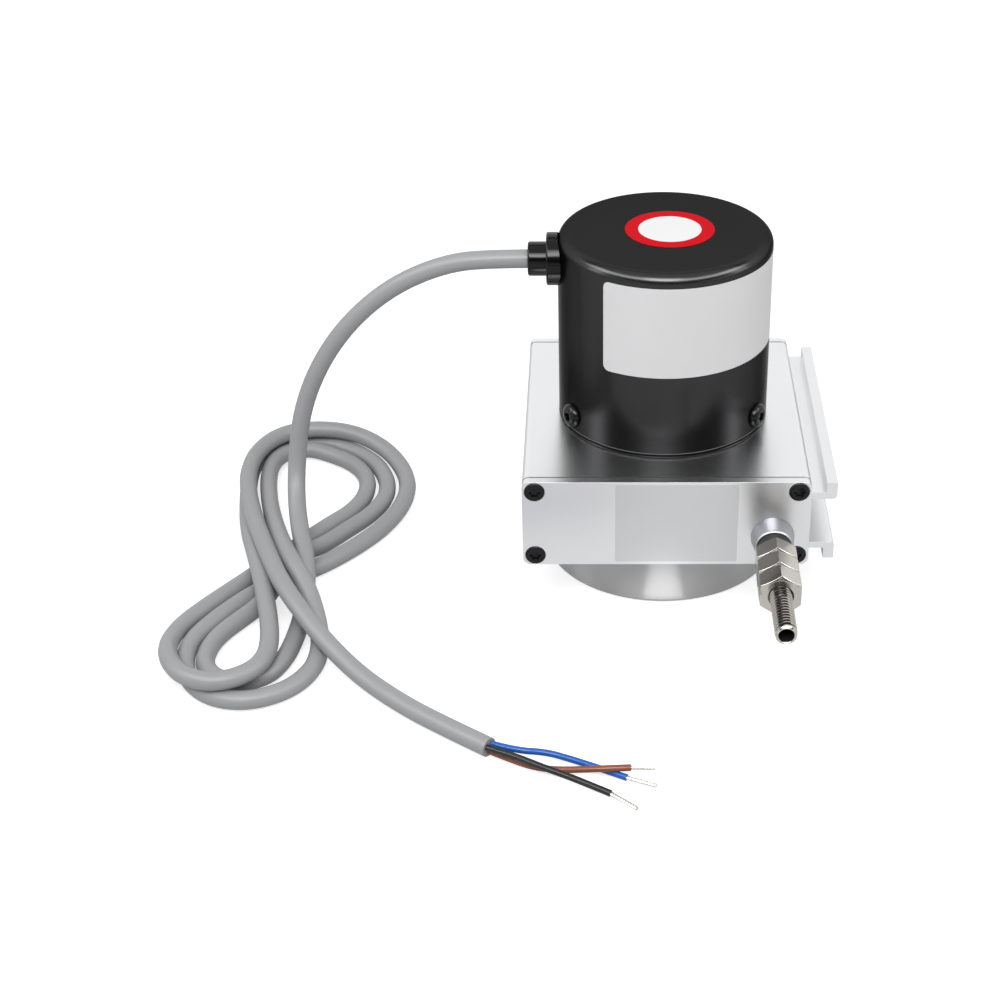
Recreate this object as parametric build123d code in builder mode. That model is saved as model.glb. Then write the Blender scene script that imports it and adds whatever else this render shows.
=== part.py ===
"""Draw wire encoder: spring housing, wire drum housing, encoder can, wire end and signal cable.

Millimetres. The origin is on the drum axis, on the flat bottom of the spring housing.
+Z runs up the drum axis, -Y is the way the wire is pulled, +X is the side with the rails.
"""
from build123d import *
import math
import os

os.makedirs("parts", exist_ok=True)

# ---------------------------------------------------------------- driving dimensions
# Spring housing, the round base
base_radius = 34.4
base_height = 19.6
base_wall = 4.9
base_floor = 2.5
base_edge = 1.2

# Drum housing: an aluminium extrusion along Y, closed by two end plates
box_width = 80.0
box_height = 26.7
box_length = 88.0
box_wall = 3.0
box_corner = 2.0
box_inner_corner = 1.0
plate_thickness = 2.8
port_radius = 2.9
port_from_side = 3.5
port_from_top = 3.1

# Clamping rails on the +X side of the extrusion
rail_gap = 4.4
rail_lip = 3.0
rail_lip_height = 3.3
rail_web = 2.0
rail_top_drop = 1.7
rail_bottom_rise = 0.3
rail_round = 1.2

# M3 screws
screw_radius = 1.45
screw_clearance = 0.05
screw_pass_radius = 1.7
head_radius = 2.8
head_height = 1.6
head_sink = 1.2
head_side_clearance = 0.1
head_round = 0.4
hole_margin = 1.0
socket_radius = 1.25
socket_depth = 0.9
plate_screw_length = 9.0

# Encoder can and the flange that carries it
can_radius = 30.25
can_height = 55.6
can_wall = 1.95
can_top = 2.5
can_round = 3.0
seam_height = 0.8
spigot_height = 9.2
spigot_wall = 3.7
flange_floor = 3.2
slip_clearance = 0.1
cover_screw_rise = 4.6
cover_screw_length = 5.5
cover_screw_side = 60.0
cover_head_round = 0.7

# Shaft and bearings
shaft_radius = 4.0
shaft_shoulder = 5.0
bearing_radius = 8.0
bearing_width = 5.0
bearing_race = 1.6
bearing_chamfer = 0.3
bearing_recess = 1.2
upper_bearing_lift = 1.3
fit_clearance = 0.03
running_clearance = 0.3
encoder_shaft_radius = 3.0
encoder_shaft_length = 10.0
shaft_step_rise = 4.0
spacer_wall = 1.3
circlip_wall = 1.4
circlip_gap = 2.4
circlip_thickness = 0.8

# Wire drum and measuring wire
wire_radius = 0.4
wire_line_rise = 9.1
wire_turns = 8
drum_side_gap = 5.0
drum_flange_depth = 2.3
drum_flange = 1.2
drum_rim = 2.8
drum_hub_radius = 9.0
drum_web = 3.0
drum_hole_radius = 4.0
drum_holes = 6
drum_top_gap = 0.8

# Spring
spring_thickness = 0.5
spring_width = 8.6
spring_half_turns = 13
arbor_radius = 7.5
arbor_clearance = 0.4
spring_lift = 0.6
spring_inner_play = 0.1
spring_outer_play = 0.2

# Wire nozzle on the front plate
nozzle_radius = 6.1
nozzle_length = 5.8
nozzle_neck = 4.0
nozzle_bevel = 1.0
nozzle_nut = 2.4
lock_nut_radius = 5.0
neck_past_nut = 0.4
nozzle_end_wall = 1.0
bush_radius = 2.5
bush_length = 3.0
bush_bore = 0.6
wire_passage = 1.2
buffer_radius = 4.7
buffer_length = 4.6
buffer_sink = 1.0
buffer_round = 0.8

# Wire end fitting
hex_width = 11.0
hex_bevel = 0.55
hex_land = 0.1
end_hex_length = 6.4
nut_length = 7.0
stud_radius = 3.0
stud_length = 32.0
stud_bore = 2.1
stud_chamfer = 0.5
thread_pitch_radius = 2.7
thread_run_out = 0.3
end_hex_floor = 2.4
ferrule_length = 5.0
ferrule_play = 0.2
ferrule_crimp = 0.05
end_gap = 0.2

# Cable and its gland
cable_radius = 2.65
gland_rise = 47.1
gland_flange_radius = 7.5
gland_flange_reach = 33.4
gland_neck_radius = 4.85
gland_neck_reach = 38.6
gland_seat = 4.0
gland_round = 0.6
gland_stem = 4.2
gland_stem_wall = 1.0
gland_nut_radius = 5.6
gland_nut_width = 2.0
gland_nut_gap = 0.2
conductor_radius = 0.88
strand_radius = 0.6

# ---------------------------------------------------------------- places worked out
box_bottom = base_height
box_top = box_bottom + box_height
box_mid = (box_bottom + box_top) / 2
box_side = box_width / 2
channel_half = box_length / 2 - plate_thickness
port_span_x = box_width - 2 * port_from_side
port_span_z = box_height - 2 * port_from_top
inner_floor = box_bottom + box_wall
inner_roof = box_top - box_wall
can_bottom = box_top + seam_height
can_roof = box_top + can_height
can_bore = can_radius - can_wall
spigot_radius = can_bore - slip_clearance
spigot_top = can_bottom + spigot_height
flange_top = box_top + flange_floor
cover_screw_height = box_top + cover_screw_rise
gland_height = box_top + gland_rise
drum_flange_radius = box_side - box_wall - drum_side_gap
wire_line_radius = drum_flange_radius - drum_flange_depth
wire_line_height = box_bottom + wire_line_rise
front_y = -box_length / 2
rear_y = box_length / 2
screw_hole = screw_radius + screw_clearance
head_pocket = head_radius + head_side_clearance
cover_screw_angles = (-90 - cover_screw_side, -90 + cover_screw_side, 90)
cover_seat = math.sqrt(can_radius**2 - head_pocket**2)

front_face = Plane(origin=(0, front_y, box_mid), x_dir=(1, 0, 0), z_dir=(0, -1, 0))
rear_face = Plane(origin=(0, rear_y, box_mid), x_dir=(-1, 0, 0), z_dir=(0, 1, 0))
wire_axis = Plane(origin=(wire_line_radius, 0, wire_line_height), x_dir=(1, 0, 0), z_dir=(0, -1, 0))


def wire_station(distance):
    """A plane across the wire line, this far in front of the drum axis, facing out."""
    return wire_axis.offset(distance)


def radial_plane(turn, radius):
    """A plane facing out of the can, this far from the drum axis, at the cover screws' height."""
    way = (math.cos(math.radians(turn)), math.sin(math.radians(turn)), 0)
    return Plane(origin=(radius * way[0], radius * way[1], cover_screw_height), x_dir=(0, 0, 1), z_dir=way)


def save(part, name):
    part.label = name
    export_step(part, f"parts/{name}.step")


# ---------------------------------------------------------------- drum housing
rail_in = box_side + rail_gap
rail_out = rail_in + rail_lip
rail_root = box_side - box_wall / 2
upper_lip = box_top - rail_top_drop
upper_web = upper_lip - rail_lip_height
lower_lip = box_bottom + rail_bottom_rise
lower_web = lower_lip + rail_lip_height
floor_bore = bearing_radius + hole_margin
roof_bore = 16.0
base_screw_circle = base_radius - base_wall / 2
flange_screw_circle_radius = 20.4

with BuildPart() as housing_extrusion:
    with BuildSketch(Plane.XZ.offset(-channel_half)):
        with Locations((0, box_mid)):
            RectangleRounded(box_width, box_height, box_corner)
            RectangleRounded(box_width - 2 * box_wall, box_height - 2 * box_wall, box_inner_corner,
                             mode=Mode.SUBTRACT)
            with GridLocations(port_span_x, port_span_z, 2, 2):
                Circle(port_radius)
                Circle(screw_hole, mode=Mode.SUBTRACT)
        for web_in, web_out, lip_end in (
            (upper_web, upper_web - rail_web, upper_lip),
            (lower_web, lower_web + rail_web, lower_lip),
        ):
            with BuildLine():
                Polyline(
                    (rail_root, web_in), (rail_in, web_in), (rail_in, lip_end),
                    (rail_out, lip_end), (rail_out, web_out), (rail_root, web_out), close=True,
                )
            make_face()
    extrude(amount=2 * channel_half)
    rail_corners = housing_extrusion.edges().filter_by(Axis.Y).group_by(Axis.X)[-1].sort_by(Axis.Z)
    fillet(rail_corners[1:3], rail_round)
    with Locations((0, 0, box_bottom + box_wall)):
        Hole(floor_bore, depth=box_wall)
        with PolarLocations(base_screw_circle, 4, start_angle=45):
            Hole(screw_pass_radius, depth=box_wall)
    with Locations((0, 0, box_top)):
        Hole(roof_bore, depth=box_wall)
        with PolarLocations(flange_screw_circle_radius, 4, start_angle=45):
            Hole(screw_hole, depth=box_wall)
save(housing_extrusion.part, "housing_extrusion")

with BuildPart() as front_plate:
    with BuildSketch(front_face):
        RectangleRounded(box_width, box_height, box_corner)
    extrude(amount=-plate_thickness)
    with Locations(front_face):
        with GridLocations(port_span_x, port_span_z, 2, 2):
            CounterBoreHole(screw_pass_radius, head_pocket, head_sink, depth=plate_thickness)
    with BuildSketch(wire_station(box_length / 2)):
        Circle(nozzle_neck + screw_clearance)
    extrude(amount=-plate_thickness, mode=Mode.SUBTRACT)
save(front_plate.part, "front_plate")

with BuildPart() as rear_plate:
    with BuildSketch(rear_face):
        RectangleRounded(box_width, box_height, box_corner)
    extrude(amount=-plate_thickness)
    with Locations(rear_face):
        with GridLocations(port_span_x, port_span_z, 2, 2):
            CounterBoreHole(screw_pass_radius, head_pocket, head_sink, depth=plate_thickness)
save(rear_plate.part, "rear_plate")

for plate_name, plate_face, outer_group in (("front", front_face, 0), ("rear", rear_face, -1)):
    with BuildPart() as plate_screws:
        with BuildSketch(plate_face.offset(-head_sink)):
            with GridLocations(port_span_x, port_span_z, 2, 2):
                Circle(head_radius)
        extrude(amount=head_height)
        fillet(plate_screws.edges().filter_by(GeomType.CIRCLE).group_by(Axis.Y)[outer_group], head_round)
        with BuildSketch(plate_face.offset(head_height - head_sink)):
            with GridLocations(port_span_x, port_span_z, 2, 2):
                RegularPolygon(socket_radius, 6)
        extrude(amount=-socket_depth, mode=Mode.SUBTRACT)
        with BuildSketch(plate_face.offset(-head_sink)):
            with GridLocations(port_span_x, port_span_z, 2, 2):
                Circle(screw_radius)
        extrude(amount=-plate_screw_length)
    save(plate_screws.part, f"{plate_name}_plate_screws")

# ---------------------------------------------------------------- spring housing
base_bore = base_radius - base_wall
cover_plate = 2.2
cover_boss_floor = 1.0
cover_boss_wall = 3.0
base_screw_length = 7.0
lower_bearing_top = box_bottom - bearing_recess
lower_bearing_bottom = lower_bearing_top - bearing_width
cover_boss_bottom = lower_bearing_bottom - cover_boss_floor
cover_boss_radius = bearing_radius + cover_boss_wall

with BuildPart() as spring_housing:
    with BuildSketch():
        Circle(base_radius)
    extrude(amount=base_height)
    fillet(spring_housing.edges().group_by(Axis.Z)[0], base_edge)
    with BuildSketch(Plane.XY.offset(base_floor)):
        Circle(base_bore)
    extrude(amount=base_height - base_floor, mode=Mode.SUBTRACT)
    with Locations((0, 0, base_height)):
        with PolarLocations(base_screw_circle, 4, start_angle=45):
            Hole(screw_hole, depth=base_screw_length + hole_margin)
save(spring_housing.part, "spring_housing")

with BuildPart() as base_screws:
    with BuildSketch(Plane.XY.offset(inner_floor)):
        with PolarLocations(base_screw_circle, 4, start_angle=45):
            Circle(head_radius)
    extrude(amount=head_height)
    with BuildSketch(Plane.XY.offset(inner_floor)):
        with PolarLocations(base_screw_circle, 4, start_angle=45):
            Circle(screw_radius)
    extrude(amount=-(box_wall + base_screw_length))
save(base_screws.part, "base_screws")

with BuildPart() as spring_cover:
    with BuildSketch(Plane.XY.offset(box_bottom - cover_plate)):
        Circle(base_bore - slip_clearance)
    extrude(amount=cover_plate)
    with BuildSketch(Plane.XY.offset(cover_boss_bottom)):
        Circle(cover_boss_radius)
    extrude(amount=box_bottom - cover_boss_bottom)
    with BuildSketch(Plane.XY.offset(lower_bearing_bottom)):
        Circle(bearing_radius + fit_clearance)
    extrude(amount=box_bottom - lower_bearing_bottom, mode=Mode.SUBTRACT)
    with Locations((0, 0, box_bottom)):
        Hole(bearing_radius - bearing_race)
save(spring_cover.part, "spring_cover")

# The spring is a flat strip wound in half turns, each on its own centre
arbor_bottom = base_floor + arbor_clearance
arbor_top = cover_boss_bottom - arbor_clearance
spring_bottom = base_floor + spring_lift
spring_start = arbor_radius + spring_thickness / 2 + spring_inner_play
spring_end = base_bore - spring_thickness / 2 - spring_outer_play
spring_step = (spring_end - spring_start) / spring_half_turns

with BuildPart() as power_spring:
    with BuildLine() as spring_path:
        start_x = spring_start
        for half_turn in range(spring_half_turns):
            side = 1 if half_turn % 2 == 0 else -1
            span = spring_start + spring_step * half_turn
            reach = span + spring_step
            middle = side * (span - reach) / 2
            radius = (span + reach) / 2
            ThreePointArc((side * span, 0), (middle, side * radius), (-side * reach, 0))
    with BuildSketch(Plane(origin=(spring_start, 0, spring_bottom + spring_width / 2),
                           x_dir=(1, 0, 0), z_dir=(0, 1, 0))):
        Rectangle(spring_thickness, spring_width)
    sweep(path=spring_path.line.moved(Location((0, 0, spring_bottom + spring_width / 2))))
save(power_spring.part, "power_spring")

with BuildPart() as spring_arbor:
    with BuildSketch(Plane.XY.offset(arbor_bottom)):
        Circle(arbor_radius)
        Circle(shaft_radius + fit_clearance, mode=Mode.SUBTRACT)
    extrude(amount=arbor_top - arbor_bottom)
save(spring_arbor.part, "spring_arbor")

# ---------------------------------------------------------------- shaft, bearings and drum
upper_bearing_bottom = box_top + upper_bearing_lift
upper_bearing_top = upper_bearing_bottom + bearing_width
hub_bottom = inner_floor + head_height + running_clearance
hub_top = inner_roof - drum_top_gap
encoder_step = upper_bearing_top + shaft_step_rise
shaft_top = encoder_step + encoder_shaft_length
race_inner = shaft_radius + bearing_race
race_outer = bearing_radius - bearing_race

with BuildPart() as main_shaft:
    with BuildSketch(Plane.XY.offset(arbor_bottom)):
        Circle(shaft_radius)
    extrude(amount=encoder_step - arbor_bottom)
    with BuildSketch(Plane.XY.offset(encoder_step)):
        Circle(encoder_shaft_radius)
    extrude(amount=shaft_top - encoder_step)
    with BuildSketch(Plane.XY.offset(lower_bearing_top)):
        Circle(shaft_shoulder)
    extrude(amount=hub_bottom - lower_bearing_top)
save(main_shaft.part, "main_shaft")

for bearing_name, bearing_bottom in (
    ("lower", lower_bearing_bottom), ("upper", upper_bearing_bottom),
):
    with BuildPart() as outer_race:
        with BuildSketch(Plane.XY.offset(bearing_bottom)):
            Circle(bearing_radius)
            Circle(race_outer, mode=Mode.SUBTRACT)
        extrude(amount=bearing_width)
        chamfer(outer_race.edges().filter_by(GeomType.CIRCLE).group_by(SortBy.RADIUS)[-1], bearing_chamfer)
    save(outer_race.part, f"{bearing_name}_bearing_outer")
    with BuildPart() as inner_race:
        with BuildSketch(Plane.XY.offset(bearing_bottom)):
            Circle(race_inner)
            Circle(shaft_radius + fit_clearance, mode=Mode.SUBTRACT)
        extrude(amount=bearing_width)
    save(inner_race.part, f"{bearing_name}_bearing_inner")

rim_outer = wire_line_radius - wire_radius
rim_inner = rim_outer - drum_rim
rim_bottom = hub_bottom
rim_top = hub_top
web_bottom = (rim_bottom + rim_top - drum_web) / 2
hole_circle = (drum_hub_radius + rim_inner) / 2

with BuildPart() as wire_drum:
    with BuildSketch(Plane.XY.offset(rim_bottom)):
        Circle(rim_outer)
    extrude(amount=rim_top - rim_bottom)
    for flange_bottom in (rim_bottom, rim_top - drum_flange):
        with BuildSketch(Plane.XY.offset(flange_bottom)):
            Circle(drum_flange_radius)
        extrude(amount=drum_flange)
    for pocket_bottom, pocket_top in ((rim_bottom, web_bottom), (web_bottom + drum_web, rim_top)):
        with BuildSketch(Plane.XY.offset(pocket_bottom)):
            Circle(rim_inner)
            Circle(drum_hub_radius, mode=Mode.SUBTRACT)
        extrude(amount=pocket_top - pocket_bottom, mode=Mode.SUBTRACT)
    with Locations((0, 0, rim_top)):
        Hole(shaft_radius + fit_clearance)
    with Locations((0, 0, web_bottom + drum_web)):
        with PolarLocations(hole_circle, drum_holes):
            Hole(drum_hole_radius, depth=drum_web)
save(wire_drum.part, "wire_drum")

wound_bottom = wire_line_height - wire_radius
wound_height = (wire_turns + 1) * 2 * wire_radius
with BuildPart() as wound_wire:
    with BuildSketch(Plane.XY.offset(wound_bottom)):
        Circle(wire_line_radius + wire_radius)
        Circle(rim_outer + fit_clearance, mode=Mode.SUBTRACT)
    extrude(amount=wound_height)
save(wound_wire.part, "wound_wire")

with BuildPart() as hub_spacer:
    with BuildSketch(Plane.XY.offset(hub_top)):
        Circle(shaft_radius + spacer_wall)
        Circle(shaft_radius + fit_clearance, mode=Mode.SUBTRACT)
    extrude(amount=upper_bearing_bottom - hub_top)
save(hub_spacer.part, "hub_spacer")

with BuildPart() as shaft_circlip:
    with BuildSketch(Plane.XY.offset(upper_bearing_top)):
        Circle(shaft_radius + circlip_wall)
        Circle(shaft_radius + fit_clearance, mode=Mode.SUBTRACT)
        with Locations((0, shaft_radius)):
            Rectangle(circlip_gap, 2 * shaft_radius, mode=Mode.SUBTRACT)
    extrude(amount=circlip_thickness)
save(shaft_circlip.part, "shaft_circlip")

# ---------------------------------------------------------------- encoder
seal_radius = 0.8
seal_drop = 2.2
seal_play = 0.1
flange_boss_wall = 2.5
flange_boss_lip = 0.6
flange_screw_gap = 0.4
seal_height = spigot_top - seal_drop
seal_circle = spigot_radius - seal_radius + slip_clearance / 2
boss_radius = bearing_radius + flange_boss_wall
boss_top = upper_bearing_top + flange_boss_lip

with BuildPart() as encoder_flange:
    with BuildSketch(Plane.XY.offset(box_top)):
        Circle(can_radius)
    extrude(amount=seam_height)
    with BuildSketch(Plane.XY.offset(box_top)):
        Circle(spigot_radius)
    extrude(amount=spigot_top - box_top)
    with BuildSketch(Plane.XY.offset(flange_top)):
        Circle(spigot_radius - spigot_wall)
        Circle(boss_radius, mode=Mode.SUBTRACT)
    extrude(amount=spigot_top - flange_top, mode=Mode.SUBTRACT)
    with BuildSketch(Plane.XY.offset(boss_top)):
        Circle(boss_radius)
    extrude(amount=spigot_top - boss_top, mode=Mode.SUBTRACT)
    with BuildSketch(Plane.XY.offset(inner_roof + running_clearance)):
        Circle(roof_bore - slip_clearance)
    extrude(amount=box_wall - running_clearance)
    with BuildSketch(Plane.XY.offset(upper_bearing_bottom)):
        Circle(bearing_radius + fit_clearance)
    extrude(amount=spigot_top - upper_bearing_bottom, mode=Mode.SUBTRACT)
    with Locations((0, 0, spigot_top)):
        Hole(bearing_radius - bearing_race)
    with Locations((0, 0, flange_top)):
        with PolarLocations(flange_screw_circle_radius, 4, start_angle=45):
            Hole(screw_pass_radius, depth=flange_floor)
    with BuildSketch(Plane.XZ):
        with Locations((seal_circle + seal_radius, seal_height)):
            Rectangle(4 * seal_radius, 2 * (seal_radius + seal_play))
    revolve(axis=Axis.Z, mode=Mode.SUBTRACT)
    for turn in cover_screw_angles:
        with BuildSketch(radial_plane(turn, spigot_radius + hole_margin)):
            Circle(screw_hole)
        extrude(amount=-(spigot_wall + 2 * hole_margin), mode=Mode.SUBTRACT)
save(encoder_flange.part, "encoder_flange")

with BuildPart() as flange_screws:
    with BuildSketch(Plane.XY.offset(flange_top)):
        with PolarLocations(flange_screw_circle_radius, 4, start_angle=45):
            Circle(head_radius)
    extrude(amount=head_height)
    with BuildSketch(Plane.XY.offset(flange_top)):
        with PolarLocations(flange_screw_circle_radius, 4, start_angle=45):
            Circle(screw_radius)
    extrude(amount=-(flange_floor + box_wall - flange_screw_gap))
save(flange_screws.part, "flange_screws")

with BuildPart() as flange_seal:
    with BuildSketch(Plane.XZ):
        with Locations((seal_circle, seal_height)):
            Circle(seal_radius - fit_clearance)
    revolve(axis=Axis.Z)
save(flange_seal.part, "flange_seal")

# The code disc turns with the shaft, through the slot of the sensor head
disc_radius = 19.0
disc_thickness = 0.8
disc_play = 0.6
disc_lift = 5.4
disc_bottom = encoder_step + disc_lift
disc_hub_radius = 6.5
disc_hub_bottom = encoder_step + arbor_clearance
grub_screw_rise = 2.6
grub_screw_radius = 1.0
sensor_inner = 12.0
sensor_outer = 23.6
sensor_width = 10.0
sensor_slot = 2.6
board_radius = 25.0
board_thickness = 1.6
board_gap = 1.4
board_bottom = shaft_top + board_gap
board_top = board_bottom + board_thickness
post_radius = 2.0
post_circle_radius = 22.0
post_screw_radius = 1.0
post_head_radius = 1.9
post_head_height = 1.3
post_screw_grip = 4.0
terminal_width = 8.0
terminal_length = 15.2
terminal_height = 9.0
terminal_reach = 16.0
terminal_ports = 4
terminal_pitch = 3.6
port_width = 2.4
port_height = 3.0
port_rise = 3.4

with BuildPart() as disc_hub:
    with BuildSketch(Plane.XY.offset(disc_hub_bottom)):
        Circle(disc_hub_radius)
        Circle(encoder_shaft_radius + fit_clearance, mode=Mode.SUBTRACT)
    extrude(amount=disc_bottom - disc_hub_bottom)
    with BuildSketch(Plane.YZ.offset(disc_hub_radius)):
        with Locations((0, encoder_step + grub_screw_rise)):
            Circle(grub_screw_radius)
    extrude(amount=-(disc_hub_radius - encoder_shaft_radius), mode=Mode.SUBTRACT)
save(disc_hub.part, "disc_hub")

with BuildPart() as code_disc:
    with BuildSketch(Plane.XY.offset(disc_bottom)):
        Circle(disc_radius)
        Circle(encoder_shaft_radius + fit_clearance, mode=Mode.SUBTRACT)
    extrude(amount=disc_thickness)
save(code_disc.part, "code_disc")

with BuildPart() as sensor_head:
    with BuildSketch(Plane.XY.offset(flange_top)):
        with Locations(((sensor_inner + sensor_outer) / 2, 0)):
            Rectangle(sensor_outer - sensor_inner, sensor_width)
    extrude(amount=board_bottom - flange_top)
    with BuildSketch(Plane.XY.offset(disc_bottom + (disc_thickness - sensor_slot) / 2)):
        Circle(disc_radius + disc_play)
    extrude(amount=sensor_slot, mode=Mode.SUBTRACT)
save(sensor_head.part, "sensor_head")

with BuildPart() as board_posts:
    with BuildSketch(Plane.XY.offset(flange_top)):
        with PolarLocations(post_circle_radius, 3, start_angle=90):
            Circle(post_radius)
            Circle(post_screw_radius + screw_clearance, mode=Mode.SUBTRACT)
    extrude(amount=board_bottom - flange_top)
save(board_posts.part, "board_posts")

with BuildPart() as circuit_board:
    with BuildSketch(Plane.XY.offset(board_bottom)):
        Circle(board_radius)
        with PolarLocations(post_circle_radius, 3, start_angle=90):
            Circle(post_screw_radius + screw_clearance, mode=Mode.SUBTRACT)
    extrude(amount=board_thickness)
save(circuit_board.part, "circuit_board")

with BuildPart() as board_screws:
    with BuildSketch(Plane.XY.offset(board_top)):
        with PolarLocations(post_circle_radius, 3, start_angle=90):
            Circle(post_head_radius)
    extrude(amount=post_head_height)
    with BuildSketch(Plane.XY.offset(board_top)):
        with PolarLocations(post_circle_radius, 3, start_angle=90):
            Circle(post_screw_radius)
    extrude(amount=-(board_thickness + post_screw_grip))
save(board_screws.part, "board_screws")

with BuildPart() as cable_terminal:
    with BuildSketch(Plane.XY.offset(board_top)):
        with Locations((terminal_width / 2 - terminal_reach, 0)):
            Rectangle(terminal_width, terminal_length)
    extrude(amount=terminal_height)
    with BuildSketch(Plane.YZ.offset(-terminal_reach)):
        with Locations((0, board_top + port_rise)):
            with GridLocations(terminal_pitch, 0, terminal_ports, 1):
                Rectangle(port_width, port_height)
    extrude(amount=terminal_width / 2, mode=Mode.SUBTRACT)
save(cable_terminal.part, "cable_terminal")

gland_axis = Plane(origin=(0, 0, gland_height), x_dir=(0, 1, 0), z_dir=(-1, 0, 0))
gland_nut_face = math.sqrt(can_bore**2 - gland_nut_radius**2) - gland_nut_gap

with BuildPart() as encoder_cover:
    with BuildSketch(Plane.XY.offset(can_bottom)):
        Circle(can_radius)
    extrude(amount=can_roof - can_bottom)
    fillet(encoder_cover.edges().group_by(Axis.Z)[-1], can_round)
    with BuildSketch(Plane.XY.offset(can_bottom)):
        Circle(can_bore)
    extrude(amount=can_roof - can_top - can_bottom, mode=Mode.SUBTRACT)
    for turn in cover_screw_angles:
        with BuildSketch(radial_plane(turn, can_radius + hole_margin)):
            Circle(screw_pass_radius)
        extrude(amount=-(can_wall + 2 * hole_margin), mode=Mode.SUBTRACT)
        with BuildSketch(radial_plane(turn, cover_seat)):
            Circle(head_pocket)
        extrude(amount=head_height, mode=Mode.SUBTRACT)
    with BuildSketch(gland_axis.offset(can_radius + hole_margin)):
        Circle(gland_stem + slip_clearance)
    extrude(amount=-(can_wall + 3 * hole_margin), mode=Mode.SUBTRACT)
save(encoder_cover.part, "encoder_cover")

with BuildPart() as cover_screws:
    for turn in cover_screw_angles:
        crown = radial_plane(turn, cover_seat + head_height)
        with BuildSketch(crown):
            Circle(head_radius)
        extrude(amount=-head_height)
        rims = cover_screws.edges(Select.LAST).filter_by(GeomType.CIRCLE)
        fillet(rims.sort_by_distance(crown.origin)[0], cover_head_round)
        with BuildSketch(crown):
            RegularPolygon(socket_radius, 6)
        extrude(amount=-socket_depth, mode=Mode.SUBTRACT)
        with BuildSketch(radial_plane(turn, cover_seat)):
            Circle(screw_radius)
        extrude(amount=-cover_screw_length)
save(cover_screws.part, "cover_screws")

with BuildPart() as cable_gland:
    with BuildSketch(gland_axis.offset(gland_nut_face)):
        Circle(gland_stem)
    extrude(amount=gland_flange_reach - gland_nut_face)
    with BuildSketch(gland_axis.offset(can_bore)):
        Circle(gland_flange_radius)
    extrude(amount=gland_flange_reach - can_bore)
    flange_rim = cable_gland.edges().filter_by(GeomType.CIRCLE).group_by(Axis.X)[0]
    fillet(flange_rim, gland_round)
    with BuildSketch(Plane.XY.offset(box_top)):
        Circle(can_radius + fit_clearance)
        Circle(can_bore, mode=Mode.SUBTRACT)
    extrude(amount=can_height, mode=Mode.SUBTRACT)
    with BuildSketch(gland_axis.offset(gland_nut_face)):
        Circle(gland_stem)
    extrude(amount=gland_flange_reach - gland_nut_face)
    with BuildSketch(gland_axis.offset(gland_flange_reach)):
        Circle(gland_neck_radius)
    extrude(amount=gland_neck_reach - gland_flange_reach)
    fillet(cable_gland.edges().filter_by(GeomType.CIRCLE).group_by(Axis.X)[0], gland_round)
    with BuildSketch(gland_axis.offset(gland_neck_reach)):
        Circle(cable_radius + slip_clearance)
    extrude(amount=-gland_seat, mode=Mode.SUBTRACT)
save(cable_gland.part, "cable_gland")

with BuildPart() as gland_nut:
    with BuildSketch(gland_axis.offset(gland_nut_face)):
        Circle(gland_nut_radius)
    extrude(amount=-gland_nut_width)
    with BuildSketch(gland_axis.offset(gland_nut_face)):
        Circle(gland_stem - gland_stem_wall)
    extrude(amount=-gland_nut_width, mode=Mode.SUBTRACT)
save(gland_nut.part, "gland_nut")

# ---------------------------------------------------------------- wire nozzle
plate_front = box_length / 2
nozzle_front = plate_front + nozzle_length
nozzle_back = channel_half - nozzle_nut - neck_past_nut
buffer_back = nozzle_front - buffer_sink
buffer_front = buffer_back + buffer_length
nozzle_bore = bush_radius + slip_clearance / 2
end_start = buffer_front + end_gap

with BuildPart() as wire_nozzle:
    with BuildSketch(wire_station(plate_front)):
        Circle(nozzle_radius)
    extrude(amount=nozzle_length)
    chamfer(wire_nozzle.edges().group_by(Axis.Y)[0], nozzle_bevel)
    with BuildSketch(wire_station(nozzle_back)):
        Circle(nozzle_neck)
    extrude(amount=plate_front - nozzle_back)
    with BuildSketch(wire_station(nozzle_front)):
        Circle(buffer_radius + fit_clearance)
    extrude(amount=-buffer_sink, mode=Mode.SUBTRACT)
    with BuildSketch(wire_station(buffer_back)):
        Circle(nozzle_bore)
    extrude(amount=-(buffer_back - nozzle_back - nozzle_end_wall), mode=Mode.SUBTRACT)
    with BuildSketch(wire_station(buffer_back)):
        Circle(wire_passage)
    extrude(amount=-(buffer_back - nozzle_back), mode=Mode.SUBTRACT)
save(wire_nozzle.part, "wire_nozzle")

with BuildPart() as nozzle_lock_nut:
    with BuildSketch(wire_station(channel_half)):
        RegularPolygon(lock_nut_radius, 6, major_radius=False)
        Circle(nozzle_neck + fit_clearance, mode=Mode.SUBTRACT)
    extrude(amount=-nozzle_nut)
save(nozzle_lock_nut.part, "nozzle_lock_nut")

with BuildPart() as nozzle_bush:
    with BuildSketch(wire_station(buffer_back)):
        Circle(bush_radius)
        Circle(bush_bore, mode=Mode.SUBTRACT)
    extrude(amount=-bush_length)
save(nozzle_bush.part, "nozzle_bush")

with BuildPart() as wire_wiper:
    with BuildSketch(wire_station(buffer_back - bush_length)):
        Circle(bush_radius)
        Circle(bush_bore, mode=Mode.SUBTRACT)
    extrude(amount=-(buffer_back - bush_length - nozzle_back - nozzle_end_wall))
save(wire_wiper.part, "wire_wiper")

with BuildPart() as end_buffer:
    with BuildSketch(wire_station(buffer_back)):
        Circle(buffer_radius)
        Circle(wire_passage, mode=Mode.SUBTRACT)
    extrude(amount=buffer_length)
    fillet(end_buffer.edges().group_by(Axis.Y)[0].sort_by(SortBy.RADIUS)[-1], buffer_round)
save(end_buffer.part, "end_buffer")

# ---------------------------------------------------------------- wire end
end_hex_front = end_start + end_hex_length
stud_front = end_hex_front + stud_length
thread_start = end_hex_front + 2 * nut_length + thread_run_out
hex_corner = hex_width / math.sqrt(3)
bore_back = end_start + end_hex_floor


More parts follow.
